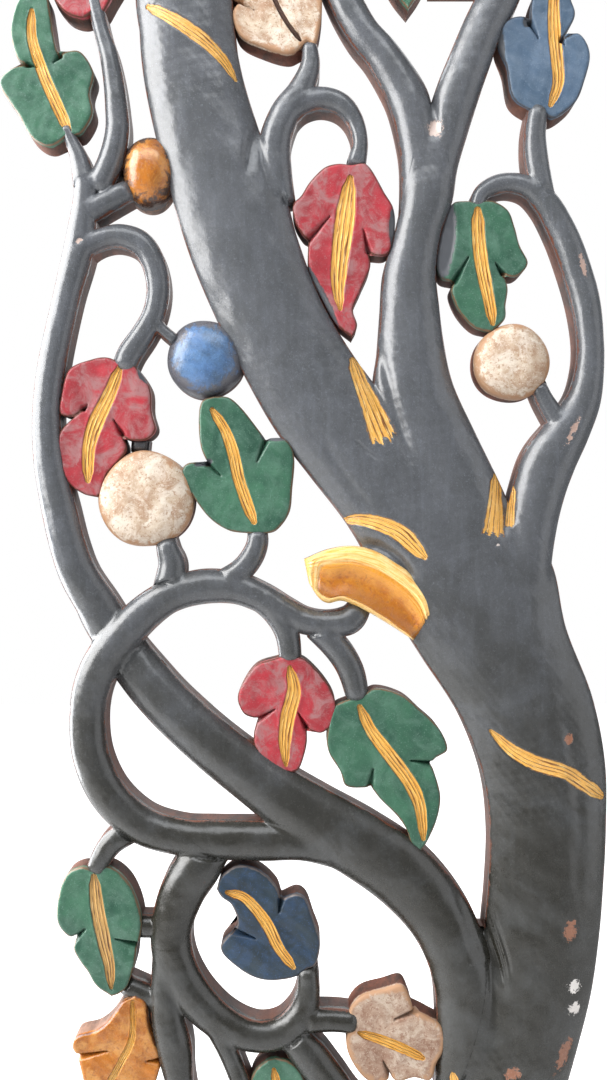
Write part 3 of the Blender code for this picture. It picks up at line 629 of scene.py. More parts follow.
charcoal = dict(paint=tone(84, 86, 90), deep=tone(74, 76, 78), bloomAndSheen=tone(116, 120, 128), bloomAndSheenAmount=0.10,
                pits=0.25, rub=0.34, rubWidth=0.0012, under=tone(104, 66, 52), reach=0.0034, patch=40.0,
                brush=0.22, footShade=1.0, stain=tone(100, 60, 44), sideDark=tone(54, 40, 34), sidePale=tone(132, 86, 64),
                rough=0.25, shine=0.70, bump=0.60, fray=0.34, gold=tone(232, 172, 78), line=tone(124, 72, 22),
                shineGold=tone(255, 220, 142), bare=tone(232, 226, 220), tan=tone(146, 98, 74))
plain = dict(charcoal, brush=0.0, footShade=0.0)  # no brush marks and no painted shade at the foot
leafPaint = dict(plain, bare=tone(86, 88, 92), shine=0.45, fray=0.2, bloomAndSheenAmount=0.35)
looks = {
    "green": dict(leafPaint, paint=tone(62, 106, 82), deep=tone(44, 80, 64), bloomAndSheen=tone(100, 132, 116),
                  pits=0.35, rub=0.46, under=tone(112, 92, 70), rough=0.38),
    # the red's large pink-grey bloom patches are a painted sheen of the satin paint
    "red": dict(leafPaint, paint=tone(176, 50, 60), deep=tone(138, 44, 50), bloomAndSheen=tone(154, 108, 108),
                bloomAndSheenAmount=0.95, pits=0.35, rub=0.46, under=tone(104, 58, 48), rough=0.40),
    "blue": dict(leafPaint, paint=tone(78, 98, 120), deep=tone(62, 82, 102), bloomAndSheen=tone(106, 122, 138),
                 pits=0.35, rub=0.45, under=tone(70, 72, 78), rough=0.40),
    "darkBlue": dict(leafPaint, paint=tone(48, 62, 72), deep=tone(38, 48, 56), bloomAndSheen=tone(56, 84, 122),
                     rub=0.50, under=tone(104, 96, 94), rough=0.38),
    "cream": dict(plain, bare=tone(150, 120, 100), paint=tone(206, 188, 166), deep=tone(160, 124, 96),
                  bloomAndSheen=tone(226, 216, 202), bloomAndSheenAmount=0.70, pits=0.75, rub=0.36, rubWidth=0.0055,
                  under=tone(176, 136, 104), rough=0.50, shine=0.35, bump=0.7, stain=tone(112, 64, 46),
                  fray=0.3, patch=90.0),
    "ochre": dict(leafPaint, paint=tone(190, 114, 32), deep=tone(136, 74, 18), bloomAndSheen=tone(200, 144, 76),
                  bloomAndSheenAmount=0.70, pits=0.60, rub=0.36, under=tone(96, 52, 24), rough=0.28, shine=0.6,
                  stain=tone(140, 104, 84), sidePale=tone(190, 156, 130)),
    "fungus": dict(plain, paint=tone(204, 124, 28), deep=tone(156, 84, 16), bloomAndSheen=tone(220, 160, 66),
                   bloomAndSheenAmount=0.45, pits=0.90, rub=0.30, under=tone(150, 96, 50), rough=0.28, shine=0.7,
                   stain=tone(120, 82, 62)),
}
looks["blueFruit"] = dict(looks["blue"], rub=0.42, rubWidth=0.011, under=tone(92, 92, 98), paint=tone(80, 116, 164),
                          bloomAndSheen=tone(112, 150, 196), rough=0.30, shine=0.6)
looks["ochreFruit"] = dict(looks["ochre"], rub=0.38, rubWidth=0.008, under=tone(70, 52, 44), shine=0.75, rough=0.24)
looks["greenWorn"] = dict(looks["green"], gold=tone(204, 160, 96), line=tone(92, 58, 40),
                          shineGold=tone(230, 196, 140))
looks["creamLow"] = dict(looks["cream"], paint=tone(176, 150, 130), bloomAndSheen=tone(206, 190, 172),
                         deep=tone(136, 100, 80))
looks["creamCut"] = dict(looks["cream"], gold=tone(92, 66, 54), line=tone(58, 42, 36), shineGold=tone(120, 88, 70))
looks["charcoal"] = charcoal
paints = {key: paintedMaterial(key + "Paint", look) for key, look in looks.items()}
print("materials built")

# thin limbs: x, y, half width in squares and a dip in millimetres, along each path
branches = {
    "left_stem": [(86, 170, 10.5, 0), (85, 200, 12, 0), (79, 246, 15, 0), (66, 298, 13.5, 0), (52.5, 360, 14, 0),
        (46.5, 410, 14, 0), (49, 460, 15.5, 0), (59, 510, 17.5, 0), (67.5, 545, 18, 0), (78.5, 576, 19, -1),
        (99, 610, 21, -3), (119, 645, 22, -5), (133, 664, 20, -7)],
    "diagonal": [(88, 590, 17, -4), (98, 611, 21, -3), (119, 645, 23, -5), (143, 676, 24.5, -2), (172, 708, 25, 0),
        (215, 747, 26, 0), (263, 784, 28, 0), (310, 817, 32.5, 0), (361, 846, 33.5, 0), (406, 878, 34, 0),
        (442, 921, 32, 0), (463, 973, 31, 0), (471, 1030, 34, -1), (471, 1090, 36, -2)],
    "crotch_web": [(480, 928, 8, -3), (480, 965, 14, -1)],
    "loop": [(342, 856, 15, -2), (304, 843, 18, 0), (262, 841, 20, 0), (215, 840, 19.5, 0), (179, 837, 18.5, 0),
        (141, 825, 19, 0), (109, 796, 19, 0), (91, 757, 18.5, 0), (87.5, 715, 18, 0), (94, 680, 18.5, 1),
        (112, 648, 19, 2), (140, 617, 18, 2), (168, 597, 17, 1), (200, 587, 17.5, 0), (235, 588, 16, 0),
        (262, 598, 15, 0), (285, 611, 14, 0), (305, 621, 13.5, 0), (328, 624, 13, 0), (350, 620, 14, 0),
        (364, 602, 10, -1)],
    "twig_cream_fruit": [(165, 536, 10, 0), (168, 550, 11.5, 0), (172, 566, 14, 0), (168, 588, 15, 0)],
    "stem_green_leaf": [(257, 528, 9.5, 0), (257, 543, 10.5, 0), (251, 558, 11.5, 0), (240, 571, 12, 0),
        (222, 582, 12, 0)],
    "stem_red_leaf": [(255, 596, 12, -1), (275, 612, 13, 0), (287, 634, 12, 0), (291, 664, 11, 0)],
    "stem_long_leaf": [(315, 628, 12, 0), (334, 645, 13.5, 0), (346, 661, 13.5, 0), (353, 677, 13, 0),
        (359, 703, 11, 0)],
    "twig_upper_red": [(93, -6, 8, 0), (97, 12, 8, 0), (102, 32, 8, 0), (108, 52, 9, 0), (113, 78, 10, 0),
        (116, 105, 11, 0), (117, 132, 12, 0), (110, 162, 13, 0), (95, 192, 13, 0)],
    "twig_upper_green": [(64, 124, 6, 0), (72, 142, 7, 0), (79, 158, 9, 0), (85, 184, 12, 0)],
    "twig_ochre_fruit": [(84, 214, 13, 0), (104, 203, 12, 0), (132, 188, 11, 0)],
    "arch_red_leaf": [(76, 262, 11, 0), (85, 248, 11, 0), (101, 239, 11, 0), (120, 236, 12, 0), (140, 243, 12.5, 0),
        (152.5, 261, 12, 0), (158, 287, 11.5, 0), (154, 313, 11.5, 0), (143, 334, 12, 0), (130, 353, 12.5, 0),
        (122, 372, 12, 0)],
    "twig_blue_fruit": [(150, 308, 6, 0), (160, 327, 6, 0), (177, 342, 6, 0)],
    "stem_cream_leaf": [(309, 40, 7, 0), (310, 66, 10, 0), (300, 91, 13, 0), (285, 113, 15, 0), (275, 142, 16, 0),
        (276, 172, 16, 0), (284, 205, 12, 0)],
    "arch_middle_leaf": [(279, 152, 10, 0), (284, 126, 10, 0), (298, 106, 11, 0), (319, 98, 11.5, 0),
        (340, 103, 11, 0), (354, 119, 9, 0), (360, 142, 8, 0), (356, 166, 10, 0)],
    "limb_middle": [(400, -198, 11, 0), (362, -184, 12, 0), (330, -150, 13, 0), (316, -108, 14, 0),
        (319, -66, 15, 0), (332, -30, 15.5, 0), (347, 3, 16.5, 0), (363, 31, 16.5, 0), (380, 51, 17.5, 0),
        (395, 73, 19, 0), (408, 97, 20.5, 0), (416, 128, 20, 0), (421, 160, 20, 0), (421, 200, 20, 0),
        (416, 235, 18, 0)],
    "limb_right": [(395, -199, 11, 0), (440, -192, 12, 0), (484, -167, 13, 0), (510, -130, 15, 0), (521, -86, 17, 0),
        (514, -40, 19, 0), (498, -2, 20.5, 0), (483, 27, 20, 0), (470, 60, 21, 0), (458, 92, 22, 0),
        (446, 130, 22, 0), (437, 165, 21, 0), (431, 200, 21, 0), (420, 235, 17, 0)],
    "arch_right_leaf": [(476, 210, 8, 0), (481, 194, 8, 0), (495, 185, 9.5, 0), (512, 182.5, 10, 0),
        (530, 187.5, 11, 0), (546, 202, 13, 0), (558.5, 223, 14, 0), (571, 252, 14.7, 0), (585, 298, 14.7, 0),
        (590.5, 340, 13.5, 0), (589.5, 372, 14.5, 0), (583, 402, 17.5, 0), (567, 432, 22.5, 0), (550, 460, 26.5, 0),
        (540, 487, 26.5, 0), (532, 520, 26, 0), (527, 560, 25, 0), (530, 602, 21, -1)],
    "stem_blue_leaf": [(541, 104, 11, -1), (538, 112, 10.5, 0), (535, 134, 11, 0), (537, 162, 12, 0),
        (544, 196, 11, 0)],
    "twig_right_fruit": [(537, 382, 8, 0), (545, 400, 9, 0), (560, 424, 11, 0)],
    "stem_lower_green": [(128, 833, 12, -1), (113, 842, 12, 0), (103, 855, 11, 0), (93, 876, 9, 0)],
    "lower_loop": [(213, 846, 20, -2), (197, 868, 23.5, 0), (181.5, 894, 22.5, 0), (171.5, 928, 20.5, 0),
        (174, 960, 20.5, 0), (189, 991, 20, 0), (212, 1016, 18.5, 0), (236, 1031, 17, 0), (260, 1037, 16, 0),
        (284, 1032, 16, 0), (301, 1015, 15, 0), (308, 992, 12, 0), (307, 965, 10.5, 0)],
    "outer_root": [(164, 940, 11, -1), (165, 980, 14, 0), (167, 1015, 16.5, 0), (174, 1048, 18, 0),
        (180, 1085, 14, 0), (190, 1130, 14, 0), (210, 1180, 15, 0), (246, 1228, 17, 0), (296, 1268, 20, 0),
        (372, 1296, 24, 0)],
    "inner_root": [(197, 998, 11, -1), (216, 1028, 11, 0), (229, 1054, 10, 0), (241, 1084, 10, 0),
        (254, 1122, 12, 0), (282, 1166, 13, 0), (326, 1206, 14, 0), (400, 1238, 16, 0)],
    "root_arm": [(288, 1034, 14, -1), (308, 1055, 18, 0), (327, 1079, 18, 0), (352, 1110, 17, 0), (394, 1142, 16, 0),
        (450, 1166, 16, 0)],
    "stem_lower_cream": [(303, 1021, 13, 0), (333, 1020, 12, 0), (360, 1023, 12, 0)],
    "crown_left": [(194, 78, 42, -0.5), (182, 12, 45, 0), (176, -40, 41, 0), (170, -90, 34, 0), (174, -135, 25, 0),
        (194, -168, 17, 0), (222, -184, 12, 0), (246, -184, 10, 0)],
    "twig_top_fruit": [(160, -84, 13, 0), (126, -100, 12, 0), (98, -128, 11, 0), (82, -172, 10, 0)],
    "stem_hanging_leaf": [(402, -196, 9, 0), (404, -150, 9, 0), (404, -96, 8, 0)],
    "twig_top_right": [(518, -92, 12, 0), (543, -98, 11, 0), (564, -120, 9, 0)],
    "bridge_top": [(430, -24, 12, -2), (482, -24, 12, -2)],
    "bridge_left": [(130, 444, 7, -4), (148, 446, 6, -4)],
    "bridge_lower": [(134, 928, 12, -3), (160, 928, 12, -3)],
    "bridge_ochre": [(122, 986, 11, -3), (160, 1004, 12, -3)],
    "twig_root_fruit": [(192, 1140, 12, 0), (160, 1156, 10, 0), (132, 1178, 10, 0)],
    "twig_root_leaf": [(520, 1120, 13, 0), (552, 1136, 12, 0), (570, 1162, 9, 0)],
}
# broad limbs: x and y of the left edge, x and y of the right edge, and the dip in millimetres
broadLimbs = {
    "trunk": [(138, -5, 232, -5, 0), (142, 65, 239, 60, 0), (154, 130, 257, 124, 0), (174, 205, 284, 190, 0),
        (192, 262, 298, 240, 0), (216, 318, 320, 298, 0), (246, 378, 346, 344, 0), (276, 430, 376, 386, 0),
        (310, 475, 420, 436, 0), (345, 520, 466, 470, 0), (370, 562, 512, 506, 0), (396, 614, 551, 562, 0),
        (425, 661, 566, 628, 0), (460, 715, 592, 696, 0), (483, 775, 605, 762, 0), (490, 832, 606, 828, 0),
        (488, 888, 603, 890, 0), (484, 935, 599, 938, 0), (484, 985, 591, 994, 0), (470, 1046, 577, 1050, 0),
        (448, 1104, 561, 1106, 0), (420, 1176, 541, 1176, 0), (386, 1250, 530, 1250, 0), (346, 1330, 542, 1330, 0)],
    "mergedLimb": [(416, 148, 442, 148, -9), (405, 190, 452, 192, 0), (394, 235, 441, 235, 0),
        (384, 270, 436, 270, 0), (381, 310, 439, 305, 0), (378, 350, 444, 344, 0), (374, 390, 453, 384, 0),
        (386, 440, 474, 430, 0), (412, 500, 502, 488, 0), (440, 560, 528, 548, 0)],
}
# leaves: paint, outline of two lobes a side with a notch between, cuts, midrib and its width, bare spots
leaves = {
    "green_top_left": dict(paint="green", base=(70, 136), tip=(38, -16),
        left=[[(50, 147), (32, 138), (18, 114), (3, 92), (1, 80), (12, 70)], [(17, 58), (11, 30), (20, 0)]],
        leftNotch=(28, 66), leftCut=(38, 68),
        right=[[(82, 134), (93, 114), (90, 94), (94, 74), (82, 54), (68, 53)], [(55, 42), (51, 16), (47, -4)]],
        rightNotch=(60, 58), rightCut=(54, 64), rib=[(33, 14), (33, 40), (43, 72), (55, 100), (69, 131)],
        wide=[9, 11, 12, 11]),
    "red_top": dict(paint="red", base=(95, 12), tip=(84, -100),
        left=[[(84, 19), (67, 14), (53, -3), (48, -20), (53, -36)], [(58, -52), (66, -84)]], leftNotch=(66, -38),
        right=[[(103, 14), (114, -4), (124, -22), (126, -38)], [(116, -54), (104, -84)]], rightNotch=(112, -38),
        rib=[(93, 6), (92, -20), (89, -48), (85, -80)], wide=[7, 10, 8]),
    "cream_top": dict(paint="creamCut", base=(307, 43), tip=(250, -52),
        left=[[(290, 55), (262, 48), (240, 36), (233, 15)], [(232, -4), (234, -30)]], leftNotch=(240, 2),
        leftCut=(256, 12), right=[[(316, 44), (322, 10), (318, -18)], [(296, -34), (272, -52)]],
        rightNotch=(302, -16), rightCut=(290, -10), rib=[(300, 42), (288, 26), (276, 4), (266, -24)],
        wide=[5, 5, 4]),
    "red_middle": dict(paint="red", base=(351, 166), tip=(352, 338),
        left=[[(338, 165), (324, 169), (310, 183), (301, 197), (293, 206), (295, 222), (303, 236)],
        [(308, 250), (309, 270), (322, 299), (337, 325)]], leftNotch=(309, 240), leftCut=(330, 217),
        right=[[(367, 166), (384, 193), (394, 212), (394, 236), (388, 254), (376, 256)],
        [(370, 268), (361, 290), (353, 310), (357, 326)]], rightNotch=(368, 252), rightCut=(363, 230),
        rib=[(350, 181), (346, 210), (341, 250), (338, 285), (340, 309)], wide=[12, 20, 19, 16, 8],
        bare=[(318, 294, 7, 46, 0.5, 0.0), (394, 230, 6, 24, 0.0, 0.0)]),
    "blue_top_right": dict(paint="blue", base=(542, 114), tip=(552, -30),
        left=[[(527, 110), (512, 97), (506, 68), (498, 44), (504, 24), (520, 18)],
        [(530, 12), (532, 0), (540, -18)]], leftNotch=(530, 24), leftCut=(538, 40),
        right=[[(554, 119), (574, 104), (583, 84), (589, 55), (578, 35)], [(574, 18), (570, 0), (564, -16)]],
        rightNotch=(561, 41), rightCut=(564, 46), rib=[(553, -14), (553, 28), (556, 60), (557, 85), (550, 106)],
        wide=[10, 13, 13, 9], bare=[(500, 62, 5, 36, 0.0, 0.0), (527, 23, 5, 7, -0.3, 0.0)]),
    "green_right": dict(paint="green", base=(477, 204), tip=(491, 333),
        left=[[(464, 202), (451, 206), (442, 232), (437, 262), (441, 278), (452, 282)],
        [(451, 293), (459, 312), (474, 328)]], leftNotch=(454, 282), leftCut=(468, 258),
        right=[[(492, 202), (507, 211), (514, 228), (519, 246), (527, 264), (516, 277)],
        [(507, 288), (505, 306), (504, 320)]], rightNotch=(502, 274), rightCut=(495, 264),
        rib=[(477, 213), (478, 240), (481, 265), (486, 290), (492, 323)], wide=[13, 14, 13, 10],
        bare=[(445, 242, 11, 44, -0.12, 0.0)]),
    "red_left": dict(paint="red", base=(122, 364), tip=(98, 497),
        left=[[(108, 358), (92, 360), (70, 370), (62, 396), (61, 414), (74, 416)],
        [(60, 434), (62, 462), (68, 482), (84, 494)]], leftNotch=(84, 409), leftCut=(88, 405),
        right=[[(134, 365), (150, 388), (152, 412), (156, 430), (146, 440), (130, 440)],
        [(126, 452), (108, 474), (102, 492)]], rightNotch=(122, 434), rightCut=(114, 420),
        rib=[(120, 370), (110, 395), (98, 420), (90, 447), (89, 480)], wide=[11, 14, 16, 13, 10],
        bare=[(146, 372, 9, 14, 0.3, 0.0)]),
    "green_middle": dict(paint="green", base=(262, 534), tip=(214, 397),
        left=[[(246, 533), (228, 530), (208, 516), (189, 489), (182, 472), (190, 463), (208, 466)],
        [(201, 446), (199, 420), (202, 402)]], leftNotch=(208, 464), leftCut=(221, 476),
        right=[[(276, 530), (289, 512), (292, 488), (294, 456), (286, 440), (272, 438)],
        [(257, 428), (242, 409), (229, 398)]], rightNotch=(266, 440), rightCut=(257, 462),
        rib=[(213, 411), (225, 430), (233, 452), (239, 478), (246, 500), (254, 521)], wide=[9, 12, 12, 11],
        bare=[(277, 437, 17, 5, 0.0, 0.0), (204, 463, 10, 4, 0.2, 0.0)]),
    "red_lower": dict(paint="red", base=(291, 655), tip=(292, 772),
        left=[[(276, 658), (256, 665), (243, 682), (238, 698), (244, 713), (256, 718)],
        [(254, 733), (256, 748), (270, 766)]], leftNotch=(258, 719), leftCut=(275, 709),
        right=[[(306, 660), (325, 680), (335, 700), (333, 722), (322, 732), (312, 730)],
        [(307, 740), (304, 755), (299, 768)]], rightNotch=(306, 727), rightCut=(298, 712),
        rib=[(290, 668), (294, 690), (288, 715), (285, 740), (286, 764)], wide=[9, 15, 15, 13, 6]),
    "green_lower": dict(paint="green", base=(360, 697), tip=(420, 851),
        left=[[(346, 700), (333, 708), (327, 734), (329, 752), (340, 770), (346, 785), (364, 787)],
        [(380, 798), (396, 814), (406, 828), (411, 842)]], leftNotch=(370, 785), leftCut=(373, 768),
        right=[[(376, 688), (402, 695), (420, 710), (438, 727), (447, 748), (436, 757)],
        [(434, 772), (440, 796), (436, 820), (426, 842)]], rightNotch=(430, 763), rightCut=(410, 760),
        rib=[(360, 707), (371, 730), (389, 754), (407, 778), (419, 803), (423, 837)], wide=[10, 13, 14, 13, 8]),
    "green_low_left": dict(paint="greenWorn", base=(93, 870), tip=(112, 995),
        left=[[(82, 866), (67, 874), (59, 896), (58, 920), (67, 934)], [(75, 950), (88, 970), (97, 985)]],
        leftNotch=(76, 937), leftCut=(86, 928),
        right=[[(109, 866), (126, 878), (137, 898), (142, 920), (140, 938)], [(135, 962), (128, 984), (120, 992)]],
        rightNotch=(137, 944), rightCut=(116, 938), rib=[(95, 876), (98, 905), (105, 940), (110, 962), (112, 985)],
        wide=[11, 14, 14, 12, 7]),
    "dark_blue": dict(paint="darkBlue", base=(306, 968), tip=(217, 888),
        left=[[(294, 976), (269, 979), (248, 973), (227, 957), (221, 946), (226, 937)],
        [(238, 920), (232, 904), (222, 896)]], leftNotch=(235, 930), leftCut=(256, 938),
        right=[[(316, 962), (320, 940), (313, 918), (306, 899), (296, 893)],
        [(275, 884), (258, 869), (238, 865), (222, 875)]], rightNotch=(281, 899), rightCut=(279, 912),
        rib=[(228, 891), (246, 897), (266, 921), (279, 946), (293, 965)], wide=[8, 11, 12, 11, 9]),
    "ochre_low": dict(paint="ochre", base=(136, 994), tip=(98, 1136),
        left=[[(123, 1001), (110, 1019), (96, 1030), (78, 1035), (73, 1045)], [(82, 1070), (88, 1100), (90, 1124)]],
        leftNotch=(78, 1056), leftCut=(108, 1050),
        right=[[(146, 1002), (150, 1026), (158, 1048), (160, 1056)], [(160, 1068), (148, 1098), (120, 1124)]],
        rightNotch=(160, 1060), rightCut=(146, 1060),
        rib=[(133, 1000), (133, 1035), (122, 1060), (106, 1090), (102, 1112)], wide=[5, 7, 7, 6]),
    "cream_low": dict(paint="creamLow", base=(350, 1026), tip=(436, 1062),
        left=[[(349, 1010), (361, 995), (384, 988), (402, 984), (410, 998), (413, 1008)],
        [(428, 1016), (442, 1026), (444, 1046)]], leftNotch=(416, 1010), leftCut=(394, 1018),
        right=[[(346, 1040), (350, 1056), (362, 1074), (376, 1083), (388, 1078)],
        [(398, 1080), (414, 1076), (430, 1078)]], rightNotch=(389, 1074), rightCut=(383, 1060),
        rib=[(360, 1031), (381, 1038), (401, 1046), (422, 1056)], wide=[8, 11, 11, 9]),
}
# leaves beyond the picture: paint, base, tip and half width
plainLeaves = {
    "hanging_top": ("green", (404, -114), (408, 10), 36),
    "green_crown": ("green", (240, -188), (316, -148), 30),
    "ochre_crown": ("ochre", (566, -116), (566, -220), 32),
    "green_root": ("green", (272, 1058), (292, 1158), 28),
    "red_root": ("red", (566, 1160), (574, 1272), 30),
    "blue_root": ("blue", (222, 1216), (128, 1282), 32),
}
# spots on the limbs: x, y, half sizes in squares, lean in radians, 0 white to 1 tan
chips = [
    (434, 132, 10, 13, 0.0, 0.6),
    (81, 243, 5, 4, 0.3, 0.6),
    (581, 268, 4, 19, 0.25, 0.75),
    (570, 432, 4, 20, -0.45, 0.75),
    (565, 736, 5, 9, 0.0, 1.0),
    (567, 925, 9, 14, -0.2, 1.0),
    (571, 981, 9, 9, 0.0, 0.0),
    (572, 1003, 9, 9, 0.2, 0.05),
    (509, 1066, 11, 8, 0.0, 1.0),
    (496, 545, 2.5, 2.5, 0.0, 0.3),
    (561, 1050, 8, 24, -0.4, 1.0),
]
# hollows: path, half width in squares and depth in metres
hollows = [
    ([(360, 542), (382, 548), (401, 562), (414, 584)], 5.0, 0.0026),
    ([(478, 908), (486, 932), (494, 956), (501, 980)], 4.5, 0.0022),
    ([(481, 908), (490, 934), (498, 960), (502, 978)], 1.3, 0.0013),
    ([(485, 906), (494, 932), (502, 958), (505, 976)], 1.3, 0.0013),
    ([(489, 904), (498, 930), (506, 956), (508, 972)], 1.3, 0.0011),
    ([(501, 486), (504, 512), (503, 540)], 3.5, 0.0018),
    ([(262, 118), (252, 146), (248, 178)], 4.5, 0.002),
    ([(380, 346), (390, 392), (400, 430), (410, 460)], 5.0, 0.0016),
    ([(430, 92), (434, 112), (436, 140)], 3.5, 0.0016),
    ([(352, 440), (366, 452), (380, 462)], 1.8, 0.0007),
    ([(318, 430), (345, 478), (372, 512)], 6.0, 0.0007),
    ([(452, 880), (468, 925), (480, 965)], 5.0, 0.001),
    ([(560, 700), (575, 790), (574, 900)], 9.0, 0.0008),
]
# gold strokes: path and its width in squares
trunkStrokes = [
    ([(150, 12), (170, 24), (190, 37), (210, 51), (225, 66), (236, 83)], [9, 13, 14, 12, 6]),
    ([(353, 362), (361, 385), (371, 410), (386, 447)], [13, 17, 23, 29]),
    ([(344, 520), (362, 520), (381, 525), (401, 535), (422, 556)], [8, 14, 16, 17, 12]),
    ([(496, 477), (494, 500), (490, 540)], [12, 18, 24]),
    ([(512, 488), (508, 528)], [7, 9]),
    ([(489, 729), (510, 748), (533, 760), (560, 768), (579, 780), (599, 794)], [6, 13, 15, 15, 14, 14]),
    ([(452, 1070), (457, 1092)], [8, 12]),
]
# fruits: centre, half sizes, roundness power, number of flat cuts, height of the wall, paint
fruits = {
    "ochre_fruit": dict(at=(149, 171), half=(28, 36), power=2.1, facets=7, wall=0.0105, paint="ochreFruit"),
    "blue_fruit": dict(at=(205, 358), half=(39, 39), power=2.1, facets=0, wall=0.0105, paint="blueFruit"),
    "cream_fruit": dict(at=(146, 499), half=(48, 48), power=3.6, facets=0, wall=0.014, paint="cream"),
    "right_fruit": dict(at=(512, 362), half=(38, 38), power=3.6, facets=0, wall=0.014, paint="cream"),
    "top_fruit": dict(at=(78, -192), half=(34, 36), power=3.0, facets=0, wall=0.013, paint="cream"),
    "root_fruit": dict(at=(112, 1204), half=(36, 36), power=2.1, facets=9, wall=0.0105, paint="ochreFruit"),
}

# the limbs, all on one field: the edges of the broad ones are smoothed, then read again row by row
broadCut = dict(perSpan=40, reach=0.012, fineness=2.6, rows=dict(trunk=620, mergedLimb=340))
limbGrid = dict(trunk=120, mergedLimb=100, branch=31, perSpan=20, spacing=0.00125, fewest=24, heldFrom=0.0006)
back, backStep = 0.00002, 0.00001  # each piece has its flat back a hundredth of a millimetre further in
limbs = {}
for name, rows in broadLimbs.items():
    rows = smoothRows(rows, broadCut["perSpan"])
    left, right = place(rows[:, 0:2]), place(rows[:, 2:4])
    mid = 0.5 * (left + right)
    run = arcShare(mid)
    fine = np.full(len(mid), 1.0)  # the rows lie closer together where the strokes are
    for points, wide in trunkStrokes:
        ys = place(points)[:, 1]
        near = (mid[:, 1] > ys.min() - broadCut["reach"]) & (mid[:, 1] < ys.max() + broadCut["reach"])
        fine = np.where(near, broadCut["fineness"], fine)
    pull = np.concatenate([[0], np.cumsum(0.5 * (fine[1:] + fine[:-1]) * np.diff(run))])
    at = np.interp(np.linspace(0, pull[-1], broadCut["rows"][name]), pull, run)
    table = np.column_stack([left, right, rows[:, 4] * 0.001])
    table = np.column_stack([np.interp(at, run, table[:, k]) for k in range(5)])
    limbs[name] = makeLimb(table[:, 0:2], table[:, 2:4], table[:, 4], list(limbs.values()))
broad = list(limbs.values())
for name, stations in branches.items():
    rows = smoothRows(stations, limbGrid["perSpan"])
    length = arcShare(rows[:, :2])[-1] * square
    rows = spread(rows, max(limbGrid["fewest"], int(length / limbGrid["spacing"])))
    run = np.gradient(rows[:, :2], axis=0)
    run /= np.linalg.norm(run, axis=1)[:, None]
    side = np.column_stack([run[:, 1], -run[:, 0]]) * rows[:, 2:3]
    limbs[name] = makeLimb(place(rows[:, :2] + side), place(rows[:, :2] - side), rows[:, 3] * 0.001, broad)
for name in ("limb_middle", "limb_right"):
    limbs[name]["tuckFrom"] = place((0, 156))[1]  # clear of the joined limb's sunk top end
limbs["trunk"]["sink"] = 0.0
every = list(limbs.values())
for limb in every:
    ends = 0.5 * (limb["left"] + limb["right"])[[1, -2]]
    for key, (x, z) in zip(("startFree", "endFree"), ends[:, :, None]):
        limb[key] = 1.0 - any(limbCover(x, z, other)[1][0] > limbGrid["heldFrom"]
                              for other in every if other is not limb)
makePiece("trunk", [limbSheet(limbs["trunk"], every, limbGrid["trunk"], back)], paints["charcoal"])
makePiece("forkedLimb", [limbSheet(limbs["mergedLimb"], every, limbGrid["mergedLimb"], back + backStep)],
          paints["charcoal"])
print("trunk carved")

# branches, twigs and stems, all swept along their paths
back += 2 * backStep
sheets = {"branches": [], "twigs": []}
for name in branches:
    group = "twigs" if name.startswith(("twig", "stem", "arch")) else "branches"
    sheets[group].append(limbSheet(limbs[name], every, limbGrid["branch"], back))
    back += backStep
for group, parts in sheets.items():
    makePiece(group, parts, paints["charcoal"])
print("branches carved")

leafGrid = dict(along=124, across=83, perSpan=14, seed=0.017)
for k, (name, leaf) in enumerate(leaves.items()):
    sides = []
    for key in ("left", "right"):
        (first, second), notch = leaf[key], leaf[key + "Notch"]
        lobe = smoothRows([leaf["base"]] + first + [notch], leafGrid["perSpan"])
        point = smoothRows([notch] + second + [leaf["tip"]], leafGrid["perSpan"])
        sides.append(spread(place(np.vstack([lobe, point[1:]])), leafGrid["along"]))
    sheet = leafSheet(*sides, leaf, back, leafGrid["seed"] * k, leafGrid["across"])
    makePiece("leaf_" + name, [sheet], paints[leaf["paint"]])
    back += backStep

# plain leaves beyond the picture: narrow at the stem, full at a third, a waist, then the point
plainGrid = dict(along=100, across=61, perSpan=12, seed=0.3, seedStep=0.02, rib=(0.1, 0.35, 0.6, 0.85),
                 wide=[7, 11, 10, 6])
shares = np.array([0.0, 0.06, 0.18, 0.34, 0.50, 0.60, 0.72, 0.86, 1.0])
widths = np.array([0.18, 0.60, 0.92, 1.0, 0.84, 0.62, 0.60, 0.36, 0.0])
for k, (name, (paint, base, tip, half)) in enumerate(plainLeaves.items()):
    base, tip = np.array(base, dtype=float), np.array(tip, dtype=float)
    run = tip - base
    side = np.array([run[1], -run[0]]) / np.linalg.norm(run)
    line = base + run * shares[:, None]
    sides = [spread(place(smoothRows(line + way * side * widths[:, None] * half, plainGrid["perSpan"])),
                    plainGrid["along"]) for way in (1, -1)]
    leaf = dict(base=tuple(base), tip=tuple(tip), wide=plainGrid["wide"],
                rib=[tuple(base + run * s) for s in plainGrid["rib"]])
    sheet = leafSheet(*sides, leaf, back, plainGrid["seed"] + plainGrid["seedStep"] * k, plainGrid["across"])
    makePiece("leaf_" + name, [sheet], paints[paint])
    back += backStep
print("leaves carved")

for k, (name, fruit) in enumerate(fruits.items()):
    makePiece("fruit_" + name, [fruitSheet(fruit, back, 0.7 + k)], paints[fruit["paint"]])
    back += backStep
print("fruits carved")

